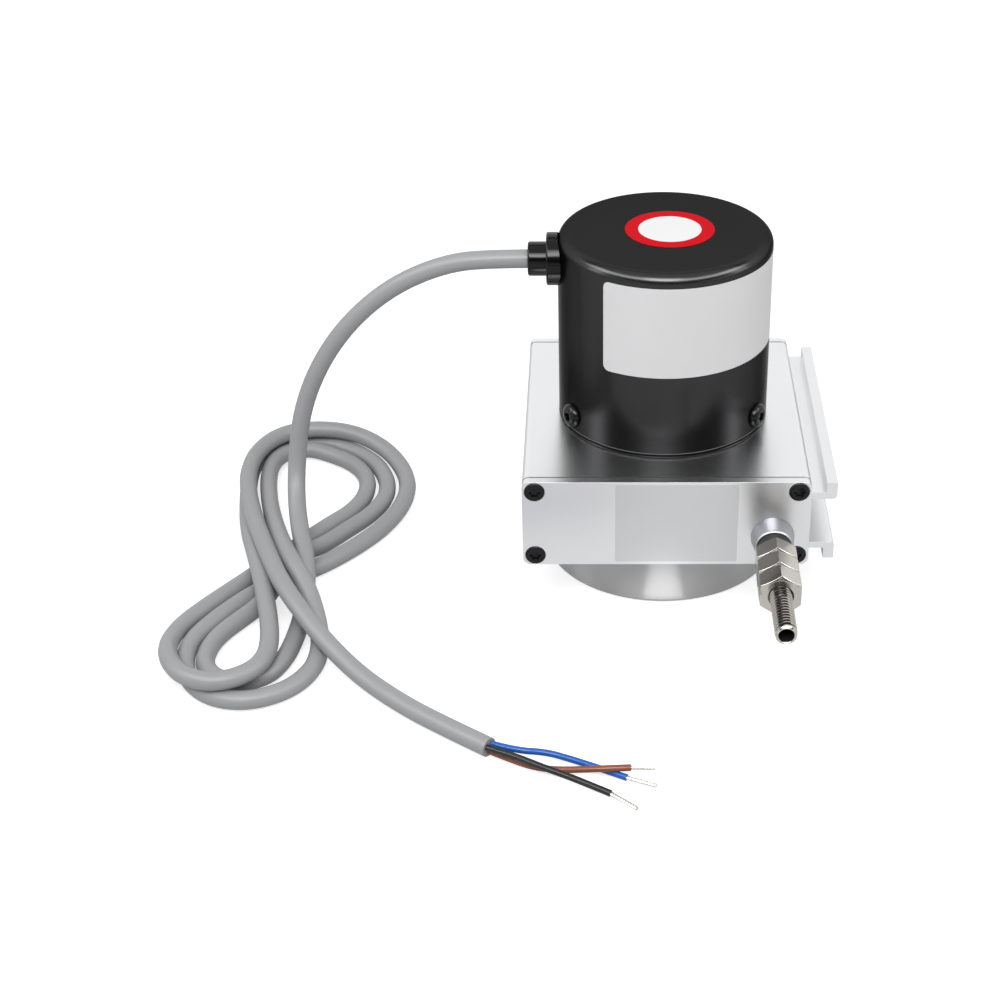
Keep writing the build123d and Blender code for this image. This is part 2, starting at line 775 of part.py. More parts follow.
def hex_barrel(start, length):
    """A turned blank whose bevels take the corners off a hexagon."""
    bevel_radius = hex_width / 2 - hex_land
    full_radius = hex_corner + hex_land
    profile_plane = Plane(origin=(wire_line_radius, 0, wire_line_height), x_dir=(1, 0, 0), z_dir=(0, 0, 1))
    with BuildPart() as barrel:
        with BuildSketch(profile_plane):
            with BuildLine():
                Polyline(
                    (0, -start), (bevel_radius, -start), (full_radius, -start - hex_bevel),
                    (full_radius, -start - length + hex_bevel), (bevel_radius, -start - length),
                    (0, -start - length), close=True,
                )
            make_face()
        revolve(axis=Axis(profile_plane.origin, (0, 1, 0)))
    return barrel.part


end_barrel = hex_barrel(end_start, end_hex_length)
with BuildPart() as wire_end_stud:
    with BuildSketch(wire_station(end_start)):
        RegularPolygon(hex_width / 2, 6, major_radius=False, rotation=30)
    extrude(amount=end_hex_length)
    add(end_barrel, mode=Mode.INTERSECT)
    with BuildSketch(wire_station(end_hex_front)):
        Circle(thread_pitch_radius)
    extrude(amount=stud_length)
    with BuildSketch(wire_station(thread_start)):
        Circle(stud_radius)
    extrude(amount=stud_front - thread_start)
    chamfer(wire_end_stud.edges().group_by(Axis.Y)[0], stud_chamfer)
    with BuildSketch(wire_station(stud_front)):
        Circle(stud_bore)
    extrude(amount=-(stud_front - bore_back), mode=Mode.SUBTRACT)
    with BuildSketch(wire_station(bore_back)):
        Circle(bush_bore)
    extrude(amount=-(bore_back - end_start), mode=Mode.SUBTRACT)
save(wire_end_stud.part, "wire_end_stud")

nut_start = end_hex_front
for nut_name in ("clamp_nut_inner", "clamp_nut_outer"):
    nut_barrel = hex_barrel(nut_start, nut_length)
    with BuildPart() as clamp_nut:
        with BuildSketch(wire_station(nut_start)):
            RegularPolygon(hex_width / 2, 6, major_radius=False, rotation=30)
        extrude(amount=nut_length)
        add(nut_barrel, mode=Mode.INTERSECT)
        with BuildSketch(wire_station(nut_start)):
            Circle(thread_pitch_radius + fit_clearance)
        extrude(amount=nut_length, mode=Mode.SUBTRACT)
    save(clamp_nut.part, nut_name)
    nut_start += nut_length

with BuildPart() as wire_ferrule:
    with BuildSketch(wire_station(bore_back)):
        Circle(stud_bore - ferrule_play)
        Circle(wire_radius + ferrule_crimp, mode=Mode.SUBTRACT)
    extrude(amount=ferrule_length)
save(wire_ferrule.part, "wire_ferrule")

wire_start = math.sqrt((wire_line_radius + wire_radius + running_clearance) ** 2
                       - (wire_line_radius - wire_radius) ** 2)
with BuildPart() as measuring_wire:
    with BuildSketch(wire_station(wire_start)):
        Circle(wire_radius)
    extrude(amount=bore_back + ferrule_length - wire_start)
save(measuring_wire.part, "measuring_wire")

# ---------------------------------------------------------------- cable
# The cable leaves the gland, arches down to the ground, lies in a figure-of-eight hank
# and ends in three conductors. Its points are chosen by hand.
hank_height = 4 * cable_radius
crossing_height = 6 * cable_radius
lead_points = [
    (-(gland_neck_reach - gland_seat), 0, gland_height), (-48, 0, 93.4), (-61, 0.5, 92), (-76, 2, 85),
    (-89, 3, 74), (-99.5, 4, 59.5), (-106.5, 4, 43), (-109, 2, 26.5), (-109, 2, crossing_height),
]
tail_points = [
    (-93, -62, cable_radius), (-84, -72.5, cable_radius), (-73.5, -84.5, cable_radius),
    (-60.5, -94.8, cable_radius), (-47.3, -104.8, cable_radius),
]
blue_points = [(-46.7, -104.0, 3.2), (-40, -106.6, 3.0), (-32.5, -105.8, 1.9), (-25.5, -108, 1.1),
               (-18.5, -111.3, 0.9), (-11.7, -115.0, 0.9)]
brown_points = [(-47.3, -104.8, 1.5), (-41.8, -107.7, 1.1), (-36, -110.6, 0.9), (-30, -111.9, 0.9),
                (-23.5, -113.0, 1.9), (-17, -113.7, 2.8), (-10.6, -113.1, 2.6)]
black_points = [(-47.9, -105.6, 3.2), (-41, -108.7, 3.1), (-33.5, -113.1, 2.9), (-25, -116.6, 1.9),
                (-15.8, -121.3, 0.9)]
tip_points = [(blue_points[-1], (-4.2, -118.2, 0.9)), (brown_points[-1], (-4.5, -112.8, 2.2)),
              (black_points[-1], (-9.2, -127.1, 0.9))]


def bend_radii(points):
    """The largest arc each corner of the route has room for."""
    radii = []
    for before, corner, after in zip(points, points[1:], points[2:]):
        run_in = Vector(*corner) - Vector(*before)
        run_out = Vector(*after) - Vector(*corner)
        half_turn = math.radians(run_in.get_angle(run_out)) / 2
        radii.append(0.45 * min(run_in.length, run_out.length) / math.tan(half_turn))
    return radii


def cord_tube(points, radius, name):
    """A round tube along straight runs joined by tangent arcs."""
    radii = bend_radii(points)
    with BuildPart() as tube:
        with BuildLine() as route:
            FilletPolyline(*points, radius=radii)
        start_way = Vector(*points[1]) - Vector(*points[0])
        with BuildSketch(Plane(origin=points[0], z_dir=start_way)):
            Circle(radius)
        sweep(path=route.wire())
    route_length = route.wire().length
    expected = math.pi * radius**2 * route_length
    print(name, "length", round(route_length, 1), "radii", [round(value) for value in radii],
          "volume ratio", round(tube.part.volume / expected, 4))
    save(tube.part, name)


cord_tube(lead_points, cable_radius, "cable_lead")
cord_tube(tail_points, cable_radius, "cable_tail")
cord_tube(blue_points, conductor_radius, "conductor_blue")
cord_tube(brown_points, conductor_radius, "conductor_brown")
cord_tube(black_points, conductor_radius, "conductor_black")

with BuildPart() as conductor_tips:
    for tip_start, tip_end in tip_points:
        tip_way = Vector(*tip_end) - Vector(*tip_start)
        with BuildSketch(Plane(origin=tip_start, z_dir=tip_way)):
            Circle(strand_radius)
        extrude(amount=tip_way.length)
save(conductor_tips.part, "conductor_tips")

hank_outline = [(-76, 26), (-79, 45), (-91, 57), (-106, 60.5), (-121, 58.5), (-131.5, 50), (-135, 34),
                (-132.5, 10), (-127.5, -18), (-133, -38), (-141.5, -52), (-143.5, -68), (-138, -82),
                (-123, -90), (-106, -88.5), (-95, -77), (-92.5, -60), (-96, -38), (-94, -20), (-84, 2)]
upper_eye = [(-113, 10), (-118, 24), (-118.5, 36), (-111, 42), (-101, 40), (-95.5, 31), (-98, 18), (-105, 9)]
lower_eye = [(-116, -50), (-112, -61), (-115, -69), (-122, -70), (-125.5, -63), (-122.5, -54)]
crossing = [(-126, 2), (-124, -20), (-119, -40), (-108, -48), (-99, -42), (-100, -24), (-103, 4), (-114, 7)]
tail_way = Vector(*tail_points[1]) - Vector(*tail_points[0])

with BuildPart() as cable_hank:
    with BuildSketch():
        with BuildLine():
            Spline(*hank_outline, periodic=True)
        make_face()
        for eye in (upper_eye, lower_eye):
            with BuildLine():
                Spline(*eye, periodic=True)
            make_face(mode=Mode.SUBTRACT)
    extrude(amount=hank_height)
    with BuildSketch():
        with BuildLine():
            Spline(*crossing, periodic=True)
        make_face()
    extrude(amount=crossing_height)
    with BuildSketch(Plane(origin=tail_points[0], x_dir=(0, 0, 1), z_dir=tail_way)):
        Rectangle(4 * hank_height, 4 * cable_radius)
    extrude(amount=4 * cable_radius, mode=Mode.SUBTRACT)
save(cable_hank.part, "cable_hank")
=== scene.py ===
import math

import bmesh
import bpy
from bpy.props import FloatProperty, FloatVectorProperty, IntProperty, PointerProperty
from mathutils import Euler, Matrix, Vector


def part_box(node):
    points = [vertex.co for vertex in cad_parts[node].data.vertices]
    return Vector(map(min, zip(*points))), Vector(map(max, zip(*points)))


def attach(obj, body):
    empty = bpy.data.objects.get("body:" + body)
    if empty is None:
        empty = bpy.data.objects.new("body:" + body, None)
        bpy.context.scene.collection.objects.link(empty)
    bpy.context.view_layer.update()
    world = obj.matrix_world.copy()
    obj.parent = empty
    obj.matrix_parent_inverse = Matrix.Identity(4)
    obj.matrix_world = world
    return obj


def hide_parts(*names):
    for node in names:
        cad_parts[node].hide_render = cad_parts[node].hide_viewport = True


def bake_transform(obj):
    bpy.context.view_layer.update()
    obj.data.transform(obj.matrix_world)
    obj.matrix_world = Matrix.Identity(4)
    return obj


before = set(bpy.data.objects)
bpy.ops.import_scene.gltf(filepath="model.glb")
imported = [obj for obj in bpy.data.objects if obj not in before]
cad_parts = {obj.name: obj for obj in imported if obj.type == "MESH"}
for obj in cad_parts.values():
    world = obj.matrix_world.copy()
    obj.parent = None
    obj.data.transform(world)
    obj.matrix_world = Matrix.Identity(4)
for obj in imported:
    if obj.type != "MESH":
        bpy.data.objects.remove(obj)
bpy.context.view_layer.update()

bl_info = {
    "name": "Draw wire encoder",
    "version": (1, 0, 0),
    "blender": (4, 5, 0),
    "location": "View3D > Sidebar > Encoder",
    "description": "Dresses the packed draw wire encoder: finishes, screws, thread, labels and cable",
    "category": "Object",
}

MM = 0.001
WHITE = (1, 1, 1, 1)
SHEET_GAP = 0.01 * MM  # between a label or film and what it lies on

# ---------------------------------------------------------------- places read from the frame
plate_low, plate_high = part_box("front_plate")
rear_low, rear_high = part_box("rear_plate")
can_low, can_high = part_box("encoder_cover")
stud_low, stud_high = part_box("wire_end_stud")

CAN_RADIUS = can_high.x
BOX_TOP = plate_high.z
FRONT_Y = plate_low.y
REAR_Y = rear_high.y
PLATE_WIDTH = plate_high.x - plate_low.x
PLATE_HEIGHT = plate_high.z - plate_low.z
PLATE_LEVEL = (plate_high.z + plate_low.z) / 2
WIRE_X = (stud_low.x + stud_high.x) / 2
WIRE_Z = (stud_low.z + stud_high.z) / 2
WIRE_WAY = (0, -1, 0)


# ---------------------------------------------------------------- settings
def length_setting(name, description, millimetres):
    return FloatProperty(name=name, description=description, default=millimetres * MM, unit="LENGTH")


def angle_setting(name, description, degrees):
    return FloatProperty(name=name, description=description, default=math.radians(degrees), unit="ROTATION")


def colour_setting(name, description, default):
    return FloatVectorProperty(name=name, description=description, default=default, subtype="COLOR")


class CableSettings(bpy.types.PropertyGroup):
    diameter: length_setting("Cable diameter", "Outer diameter of the grey jacket", 5.3)
    conductor: length_setting("Conductor diameter", "Outer diameter of one conductor", 1.76)
    strand: length_setting("Strand diameter", "Diameter of one tinned strand", 0.46)
    strands: IntProperty(name="Strands", description="Outer strands in one conductor", default=5, min=3)
    strand_reach: length_setting("Strand reach", "From a conductor's axis to a strand's", 0.34)
    lay: length_setting("Lay", "Length in which a strand turns once", 4.2)
    jacket_colour: colour_setting("Jacket colour", "Colour of the jacket", (0.37, 0.372, 0.38))
    blue: colour_setting("Blue", "Colour of the blue conductor", (0.01, 0.12, 0.5))
    brown: colour_setting("Brown", "Colour of the brown conductor", (0.27, 0.08, 0.035))
    black: colour_setting("Black", "Colour of the black conductor", (0.008, 0.008, 0.009))


class HousingSettings(bpy.types.PropertyGroup):
    silver: colour_setting("Anodised silver", "Colour of the anodised extrusion", (0.84, 0.845, 0.855))
    turned: colour_setting("Turned aluminium", "Colour of the turned base", (0.5, 0.5, 0.505))
    edge: length_setting("Edge rounding", "Width of the rounding on the housing's edges", 0.25)
    corner: length_setting("Corner", "Radius of the gaskets' corners", 2)
    gasket: length_setting("Gasket", "Thickness of the gasket behind each plate", 0.4)
    film_left: length_setting("Film left edge", "Left edge of the film on the front plate", -14.2)
    film_right: length_setting("Film right edge", "Right edge of the film on the front plate", 19.9)
    film_margin: length_setting("Film margin", "Bare plate above and below the film", 0.9)
    film_corner: length_setting("Film corner", "Radius of the film's corners", 0.5)
    film: length_setting("Film thickness", "Thickness of the film", 0.06)


class CanSettings(bpy.types.PropertyGroup):
    colour: colour_setting("Can colour", "Colour of the black anodised can", (0.05, 0.05, 0.051))
    # The rim is a painted highlight: a grey ring for the light that the can's foot edge catches.
    rim: length_setting("Rim height", "Height of the bare rim at the can's foot", 0.22)
    label_low: length_setting("Label bottom", "Height of the label's lower edge over the box", 24.9)
    label_high: length_setting("Label top", "Height of the label's upper edge over the box", 51.8)
    label_start: angle_setting("Label start", "Angle of the label's left edge from the front", -35.3)
    label_end: angle_setting("Label end", "Angle of the label's right edge from the front", 120)
    label_corner: length_setting("Label corner", "Radius of the label's corners", 1.8)
    label_thickness: length_setting("Label thickness", "Thickness of the printed labels", 0.12)
    sticker: length_setting("Sticker diameter", "Outer diameter of the sticker on the roof", 25.1)
    sticker_inner: length_setting("Sticker inner diameter", "Diameter of its white middle", 17.7)
    sticker_place: FloatVectorProperty(name="Sticker place", description="The sticker's middle", size=2,
                                       default=(1.2 * MM, 0.95 * MM), unit="LENGTH")


class WireEndSettings(bpy.types.PropertyGroup):
    across_flats: length_setting("Across flats", "Width of the hexagons across their flats", 11)
    crown: length_setting("Crown", "How far inside the flats the hexagons' corners are cut", 0.38)
    major: length_setting("Thread diameter", "Outer diameter of the stud's thread", 6)
    depth: length_setting("Thread depth", "Depth of the stud's thread", 0.6)
    pitch: length_setting("Thread pitch", "Pitch of the stud's thread", 1.25)
    bore: length_setting("Bore", "Diameter of the stud's bore", 4.2)
    tip: length_setting("Tip", "Length of the stud's turned tip", 1.5)
    buffer_seat: length_setting("Buffer seat", "Inner radius of the nozzle's mouth", 4.75)
    nozzle_bore: length_setting("Nozzle bore", "Radius of the nozzle's bore", 2.55)
    wire: length_setting("Wire diameter", "Diameter of the measuring wire", 0.8)
    colour: colour_setting("Nickel", "Colour of the nickel plated steel", (0.58, 0.555, 0.515))


class ScrewSettings(bpy.types.PropertyGroup):
    head: length_setting("Head diameter", "Diameter of the plates' screw heads", 5.6)
    button: length_setting("Button head diameter", "Diameter of the can's domed screw heads", 7.2)
    button_rise: length_setting("Button rise", "How far the domed heads sit over the CAD's", 0.5)
    socket: length_setting("Socket diameter", "Mean diameter of the six lobe socket", 2.8)
    socket_depth: length_setting("Socket depth", "Depth of the socket's walls", 1.1)
    lobe: length_setting("Lobe depth", "How far the socket's lobes swing in and out", 0.46)
    lobes: IntProperty(name="Lobes", description="Lobes of the socket", default=6, min=3)


class StageSettings(bpy.types.PropertyGroup):
    place: FloatVectorProperty(name="Camera place", description="Where the camera stands",
                               default=(-0.019202, -0.51698, 0.328853), unit="LENGTH")
    tilt: angle_setting("Camera tilt", "How far the camera looks down", 30.793)
    turn: angle_setting("Camera turn", "How far the camera is turned about the upright", -0.116)
    lens: FloatProperty(name="Focal length", description="Focal length of the camera in millimetres",
                        default=72.286)
    shift: FloatVectorProperty(name="Shift", description="Shift of the lens across and up", size=2,
                               default=(-0.1006, -0.0195))
    overhead: FloatProperty(name="Overhead light", description="Power of the overhead softbox", default=2.0,
                            unit="POWER")
    front: FloatProperty(name="Front light", description="Power of the softbox above the camera",
                         default=4.6, unit="POWER")
    side: FloatProperty(name="Side lights", description="Power of each side softbox", default=0.8,
                        unit="POWER")
    bent_card: FloatProperty(name="Bent card", description="Own light of the bent card above the camera",
                             default=6.0)
    low_card: FloatProperty(name="Low card", description="Own light of the card that lies before the base",
                            default=1.7)
    ambient: FloatProperty(name="Ambient", description="Strength of the room's diffuse light", default=0.22)
    floor_light: FloatProperty(name="Floor lift", description="Own light of the floor towards the camera",
                               default=0.7)
    floor_glint: FloatProperty(name="Floor in metal", description="Own light of the floor in reflections",
                               default=0.15)


# ---------------------------------------------------------------- materials
def new_material(name):
    """A node material, with its tree and its shader."""
    material = bpy.data.materials.new(name)
    material.use_nodes = True
    return material, material.node_tree, material.node_tree.nodes["Principled BSDF"]


def set_node(tree, node, values=None, sources=None):
    """Sets a node's constant inputs, and links its other inputs to their sources."""
    for socket, value in (values or {}).items():
        node.inputs[socket].default_value = value
    for socket, source in (sources or {}).items():
        tree.links.new(source, node.inputs[socket])


def add_node(tree, kind, values=None, sources=None, output=0, **traits):
    """Adds a shader node and returns one of its outputs."""
    node = tree.nodes.new("ShaderNode" + kind)
    for trait, value in traits.items():
        setattr(node, trait, value)
    set_node(tree, node, values, sources)
    return node.outputs[output]


def larger(tree, *sources):
    """The largest of some values."""
    largest = sources[0]
    for source in sources[1:]:
        largest = add_node(tree, "Math", sources={0: largest, 1: source}, operation="MAXIMUM")
    return largest


def surface(name, colour, roughness, metallic=0.0, spread=0.01, grain=700.0, stretch=(1, 1, 1),
            relief=0.0004, mottle=0.04, coat=0.0, specular=0.5, tint=1.0):
    """A procedural finish: a base colour with a soft mottle, and a grain in roughness and relief."""
    material, tree, shader = new_material(name)
    place = add_node(tree, "TexCoord", output="Object")
    stretched = add_node(tree, "Mapping", {"Scale": stretch}, {"Vector": place}, "Vector")
    grains = add_node(tree, "TexNoise", {"Scale": grain, "Detail": 1.0}, {"Vector": stretched}, "Fac")
    range_of_roughness = {"From Min": 0.3, "From Max": 0.7, "To Min": roughness - spread,
                          "To Max": roughness + spread}
    rough = add_node(tree, "MapRange", range_of_roughness, {"Value": grains}, "Result")
    bump = add_node(tree, "Bump", {"Strength": 1.0, "Distance": relief * MM}, {"Height": grains}, "Normal")
    cloud = add_node(tree, "TexNoise", {"Scale": 45.0, "Detail": 2.0}, {"Vector": place}, "Fac")
    dark = (*[part * (1 - mottle) for part in colour], 1)
    light = (*[min(1, part * (1 + mottle)) for part in colour], 1)
    blend = add_node(tree, "Mix", {"A": dark, "B": light}, {"Factor": cloud}, "Result", data_type="RGBA")
    set_node(
        tree, shader,
        {"Metallic": metallic, "Coat Weight": coat, "Coat Roughness": 0.1, "Specular IOR Level": specular,
         "Specular Tint": (tint, tint, tint, 1)},
        {"Roughness": rough, "Normal": bump, "Base Color": blend},
    )
    return material


def dress(piece, finish):
    """Gives a whole piece one finish."""
    piece.data.materials.clear()
    piece.data.materials.append(finish)
    return piece


def dress_node(name, finish):
    """Gives a CAD node one finish through its object's slots."""
    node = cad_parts[name]
    if not node.material_slots:
        raise RuntimeError(f"{name} has no material slot")
    for holder in node.material_slots:
        holder.link = "OBJECT"
        holder.material = finish


# ---------------------------------------------------------------- mesh helpers
def mesh_object(name, shape):
    """Puts a bmesh into the scene as an object."""
    mesh = bpy.data.meshes.new(name)
    shape.to_mesh(mesh)
    shape.free()
    made = bpy.data.objects.new(name, mesh)
    bpy.context.scene.collection.objects.link(made)
    return made


def new_piece(name, shape, finish, body="housing", sharp=30.0, node=None):
    """Turns a bmesh into a finished piece that rides on a body and, where wanted, stands for a CAD node."""
    bmesh.ops.remove_doubles(shape, verts=shape.verts, dist=0.0005 * MM)
    bmesh.ops.recalc_face_normals(shape, faces=shape.faces)
    for face in shape.faces:
        face.smooth = True
    piece = mesh_object(name, shape)
    piece.data.set_sharp_from_angle(angle=math.radians(sharp))
    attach(piece, body)
    dress(piece, finish)
    if node:
        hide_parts(node)
    return piece


def soften(piece, width, angle):
    """Rounds a piece's edges that are sharper than the angle, so that they catch the light."""
    bevel = piece.modifiers.new("edge", "BEVEL")
    bevel.width = width
    bevel.segments = 2
    bevel.limit_method = "ANGLE"
    bevel.angle_limit = math.radians(angle)
    bevel.miter_outer = "MITER_ARC"
    piece.modifiers.new("normals", "WEIGHTED_NORMAL").keep_sharp = True


def softened_copy(node, name, finish, width):
    """A copy of a CAD node with its doubles merged and its edges rounded, which stands for the node."""
    angle = 28.0
    shape = bmesh.new()
    shape.from_mesh(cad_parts[node].data)
    bmesh.ops.remove_doubles(shape, verts=shape.verts, dist=0.002 * MM)
    bmesh.ops.dissolve_limit(shape, angle_limit=math.radians(0.2), verts=shape.verts, edges=shape.edges)
    bmesh.ops.triangulate(shape, faces=[face for face in shape.faces if len(face.verts) > 4])
    piece = new_piece(name, shape, finish, sharp=angle, node=node)
    custom = piece.data.attributes.get("custom_normal")
    if custom:
        piece.data.attributes.remove(custom)
    soften(piece, width, angle)


def place_ring(verts, radius, height, lift=None):
    """Puts a ring's corners about local Z at their own turns. radius may be a number or a rule of the turn,
    and lift adds to the height by a rule of the radius and the turn."""
    for vertex in verts:
        turn = math.atan2(vertex.co.y, vertex.co.x)
        reach = radius(turn) if callable(radius) else radius
        rise = lift(reach, turn) if lift else 0.0
        vertex.co = Vector((reach * math.cos(turn), reach * math.sin(turn), height + rise))


def grow(shape, edges, sections):
    """Carries a closed ring of edges on through more sections, and returns the last ring's edges."""
    for section in sections:
        made = bmesh.ops.extrude_edge_only(shape, edges=edges)["geom"]
        verts = {item for item in made if isinstance(item, bmesh.types.BMVert)}
        place_ring(verts, *section)
        edges = [item for item in made if isinstance(item, bmesh.types.BMEdge) and set(item.verts) <= verts]
    return edges


def turned(sections, count=48, capped=False):
    """A shape about local Z from the radius, the height and, where wanted, the lift of each ring."""
    shape = bmesh.new()
    verts = bmesh.ops.create_circle(shape, cap_ends=False, segments=count, radius=1.0)["verts"]
    first = list({edge for vertex in verts for edge in vertex.link_edges})
    place_ring(verts, *sections[0])
    last = grow(shape, first, sections[1:])
    if capped:
        bmesh.ops.edgeloop_fill(shape, edges=first)
        bmesh.ops.edgeloop_fill(shape, edges=last)
    bmesh.ops.remove_doubles(shape, verts=shape.verts, dist=0.0005 * MM)
    return shape


def ring(inner, outer, low, high, count):
    """A flat-sided ring about local Z."""
    return turned([(inner, low), (outer, low), (outer, high), (inner, high), (inner, low)], count)


def stand(shape, origin, facing, up=(0, 0, 1)):
    """Moves a shape made about local Z so that Z points along facing, with local Y near up."""
    z_way = Vector(facing).normalized()
    x_way = Vector(up).cross(z_way)
    if x_way.length < 1e-6:
        x_way = Vector((1, 0, 0))
    x_way.normalize()
    y_way = z_way.cross(x_way)
    turn = Matrix((x_way, y_way, z_way)).transposed().to_4x4()
    bmesh.ops.transform(shape, matrix=Matrix.Translation(origin) @ turn, verts=shape.verts)
    return shape


def joined(shapes):
    """One bmesh that holds all the shapes."""
    whole = bmesh.new()
    for shape in shapes:
        mesh = bpy.data.meshes.new("part")
        shape.to_mesh(mesh)
        shape.free()
        whole.from_mesh(mesh)
        bpy.data.meshes.remove(mesh)
    return whole


def cut(shape, level, way, **cleared):
    """Cuts a shape along a plane, and clears a side where wanted."""
    geometry = list(shape.verts) + list(shape.edges) + list(shape.faces)
    bmesh.ops.bisect_plane(shape, geom=geometry, dist=1e-7, plane_co=level, plane_no=way, **cleared)


def rounded_sheet(width, height, corner, steps=1):
    """A flat rounded rectangle about the origin in the XZ plane, cut into strips along X."""
    shape = bmesh.new()
    bmesh.ops.create_grid(shape, x_segments=1, y_segments=1, size=0.5)
    bmesh.ops.scale(shape, vec=(width, height, 1), verts=shape.verts)
    bmesh.ops.bevel(shape, geom=list(shape.verts), offset=corner, offset_type="OFFSET", segments=6,
                    profile=0.5, affect="VERTICES", material=-1)
    for step in range(1, steps):
        cut(shape, (width * (step / steps - 0.5), 0, 0), (1, 0, 0))
    bmesh.ops.rotate(shape, matrix=Matrix.Rotation(math.radians(90), 3, "X"), verts=shape.verts)
    return shape


def thicken(shape, amount):
    """Gives a sheet its thickness, towards the side that its faces point to."""
    bmesh.ops.solidify(shape, geom=list(shape.faces), thickness=amount)


# ---------------------------------------------------------------- cable routes
# Control points in millimetres.
CABLE_POINTS = [
    # out of the gland and down in an arch
    (-34.6, 0, 93.4), (-48, 0, 93.4), (-61, 0.5, 92), (-76, 2, 85), (-89, 3, 74), (-99.5, 4, 59.5),
    (-106.5, 4, 43), (-109, 2, 26.5),
    # over the crossing and forward along the ground
    (-109, -4.5, 17.5), (-107, -15, 13), (-104, -26, 11.5), (-102.5, -37, 7.6), (-103, -47, 3.4),
    (-104, -57, 2.7), (-105.5, -66, 2.7), (-109, -73.5, 2.7),
    # innermost front turn, then back under the crossing
    (-116, -77, 2.7), (-123, -75, 2.7), (-127.3, -69, 2.7), (-127.5, -61.5, 2.7), (-125.3, -54, 2.7),
    (-120.5, -46.5, 2.7), (-116, -39.5, 2.7), (-112.3, -33.5, 5.4), (-109.8, -27, 8.3), (-107.8, -20, 7.6),
    (-105.7, -13.5, 4.5),
    # middle rear turn
    (-101.5, -7.5, 2.7), (-95, 1.5, 2.7), (-89, 9.5, 2.7), (-85, 19.5, 2.7), (-85.5, 30.5, 2.7),
    (-91, 43, 2.7), (-101.5, 52, 2.7), (-112, 55.5, 2.7), (-121.5, 53.5, 2.7), (-128, 46.5, 2.7),
    (-130, 34.5, 2.7), (-128, 17, 2.7),
    # forward over the crossing, then the outer front turn
    (-125, -1, 4.6), (-120.5, -18, 8.4), (-116.5, -32.5, 10.4), (-113, -46, 9.8), (-110, -59, 8.2),
    (-109, -69.5, 8), (-111, -77, 8), (-116.8, -82.2, 8), (-124, -83.7, 8), (-131.5, -79.6, 7.7),
    (-136.5, -71, 6.8), (-138.5, -60.5, 4.4), (-137, -50, 2.8), (-131.5, -40.5, 2.7), (-123.5, -29, 2.7),
    (-116, -18, 2.7), (-109, -8, 2.7),
    # innermost rear turn
    (-102, 2.5, 2.7), (-94.5, 12, 2.7), (-91.2, 22.5, 2.7), (-92.3, 33, 2.7), (-97.8, 41.5, 2.7),
    (-105.5, 47, 2.7), (-112.5, 50.2, 3), (-119.3, 48, 3.4), (-122.9, 40.8, 4), (-123.2, 31, 4.8),
    (-121.3, 17.5, 6.4), (-118, 1.5, 8.8), (-113, -17, 12.2), (-107.5, -32.5, 14.1), (-101.7, -42, 11.2),
    # middle front turn
    (-98, -51, 6.2), (-96, -60.5, 3), (-97, -71, 2.7), (-102.5, -80, 2.7), (-112, -85, 2.7),
    (-121.5, -84, 2.7), (-129, -78, 2.7), (-133, -68.5, 2.7), (-133, -58, 2.7), (-129, -49, 2.7),
    (-124.3, -41.3, 2.7), (-119.4, -34.4, 2.7), (-113.6, -28.6, 2.7), (-106.8, -23.4, 2.7),
    # outer rear turn
    (-100, -18, 2.7), (-92, -9, 2.7), (-84.5, 2, 2.7), (-79.5, 15, 2.7), (-78.5, 28.5, 3), (-83.5, 41, 4.5),
    (-91.5, 49, 6.6), (-101, 53.3, 8), (-112.5, 54, 8.4), (-121.5, 50.5, 8.4), (-127.5, 41, 8.2),
    (-129, 27.5, 8.2), (-126.3, 11, 9.2), (-121, -9, 12), (-115.3, -26.5, 14.1), (-109.2, -43, 14),
    (-101.5, -55.5, 11.4), (-93.5, -65.5, 7.6), (-83.5, -74.5, 3),
    # out of the hank to the cut end
    (-71.5, -86.3, 2.7), (-60.5, -95.2, 2.7), (-47.3, -104.8, 2.65),
]
BLUE_POINTS = [(-46.7, -104.0, 3.2), (-40, -106.6, 3.0), (-32.5, -105.8, 1.9), (-25.5, -108, 1.1),
               (-18.5, -111.3, 0.9), (-11.7, -115.0, 0.9)]
BROWN_POINTS = [(-47.3, -104.8, 1.5), (-41.8, -107.7, 1.1), (-36, -110.6, 0.9), (-30, -111.9, 0.9),
                (-23.5, -113.0, 1.9), (-17, -113.7, 2.8), (-10.6, -113.1, 2.6)]
BLACK_POINTS = [(-47.9, -105.6, 3.2), (-41, -108.7, 3.1), (-33.5, -113.1, 2.9), (-25, -116.6, 1.9),
                (-15.8, -121.3, 0.9)]
CONDUCTORS = (
    ("blue", BLUE_POINTS, (-4.2, -118.2, 0.9), 37.0),
    ("brown", BROWN_POINTS, (-4.5, -112.8, 2.2), 38.0),
    ("black", BLACK_POINTS, (-9.2, -127.1, 0.9), 35.6),
)


def spline_curve(name, points, diameter, finish, detail=6):
    """A round cord on one open NURBS spline through given control points in millimetres."""
    curve = bpy.data.curves.new(name, "CURVE")
    curve.dimensions = "3D"
    curve.resolution_u = detail
    curve.bevel_depth = 1.0
    curve.bevel_resolution = 6
    curve.use_fill_caps = True
    spline = curve.splines.new("NURBS")
    spline.points.add(len(points) - 1)
    for control, (x, y, z) in zip(spline.points, points):
        control.co = (x * MM, y * MM, z * MM, 1)
        control.radius = diameter / 2
    spline.order_u = 3
    spline.use_endpoint_u = True
    cord = bpy.data.objects.new(name, curve)
    bpy.context.scene.collection.objects.link(cord)
    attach(cord, "housing")
    return dress(cord, finish)


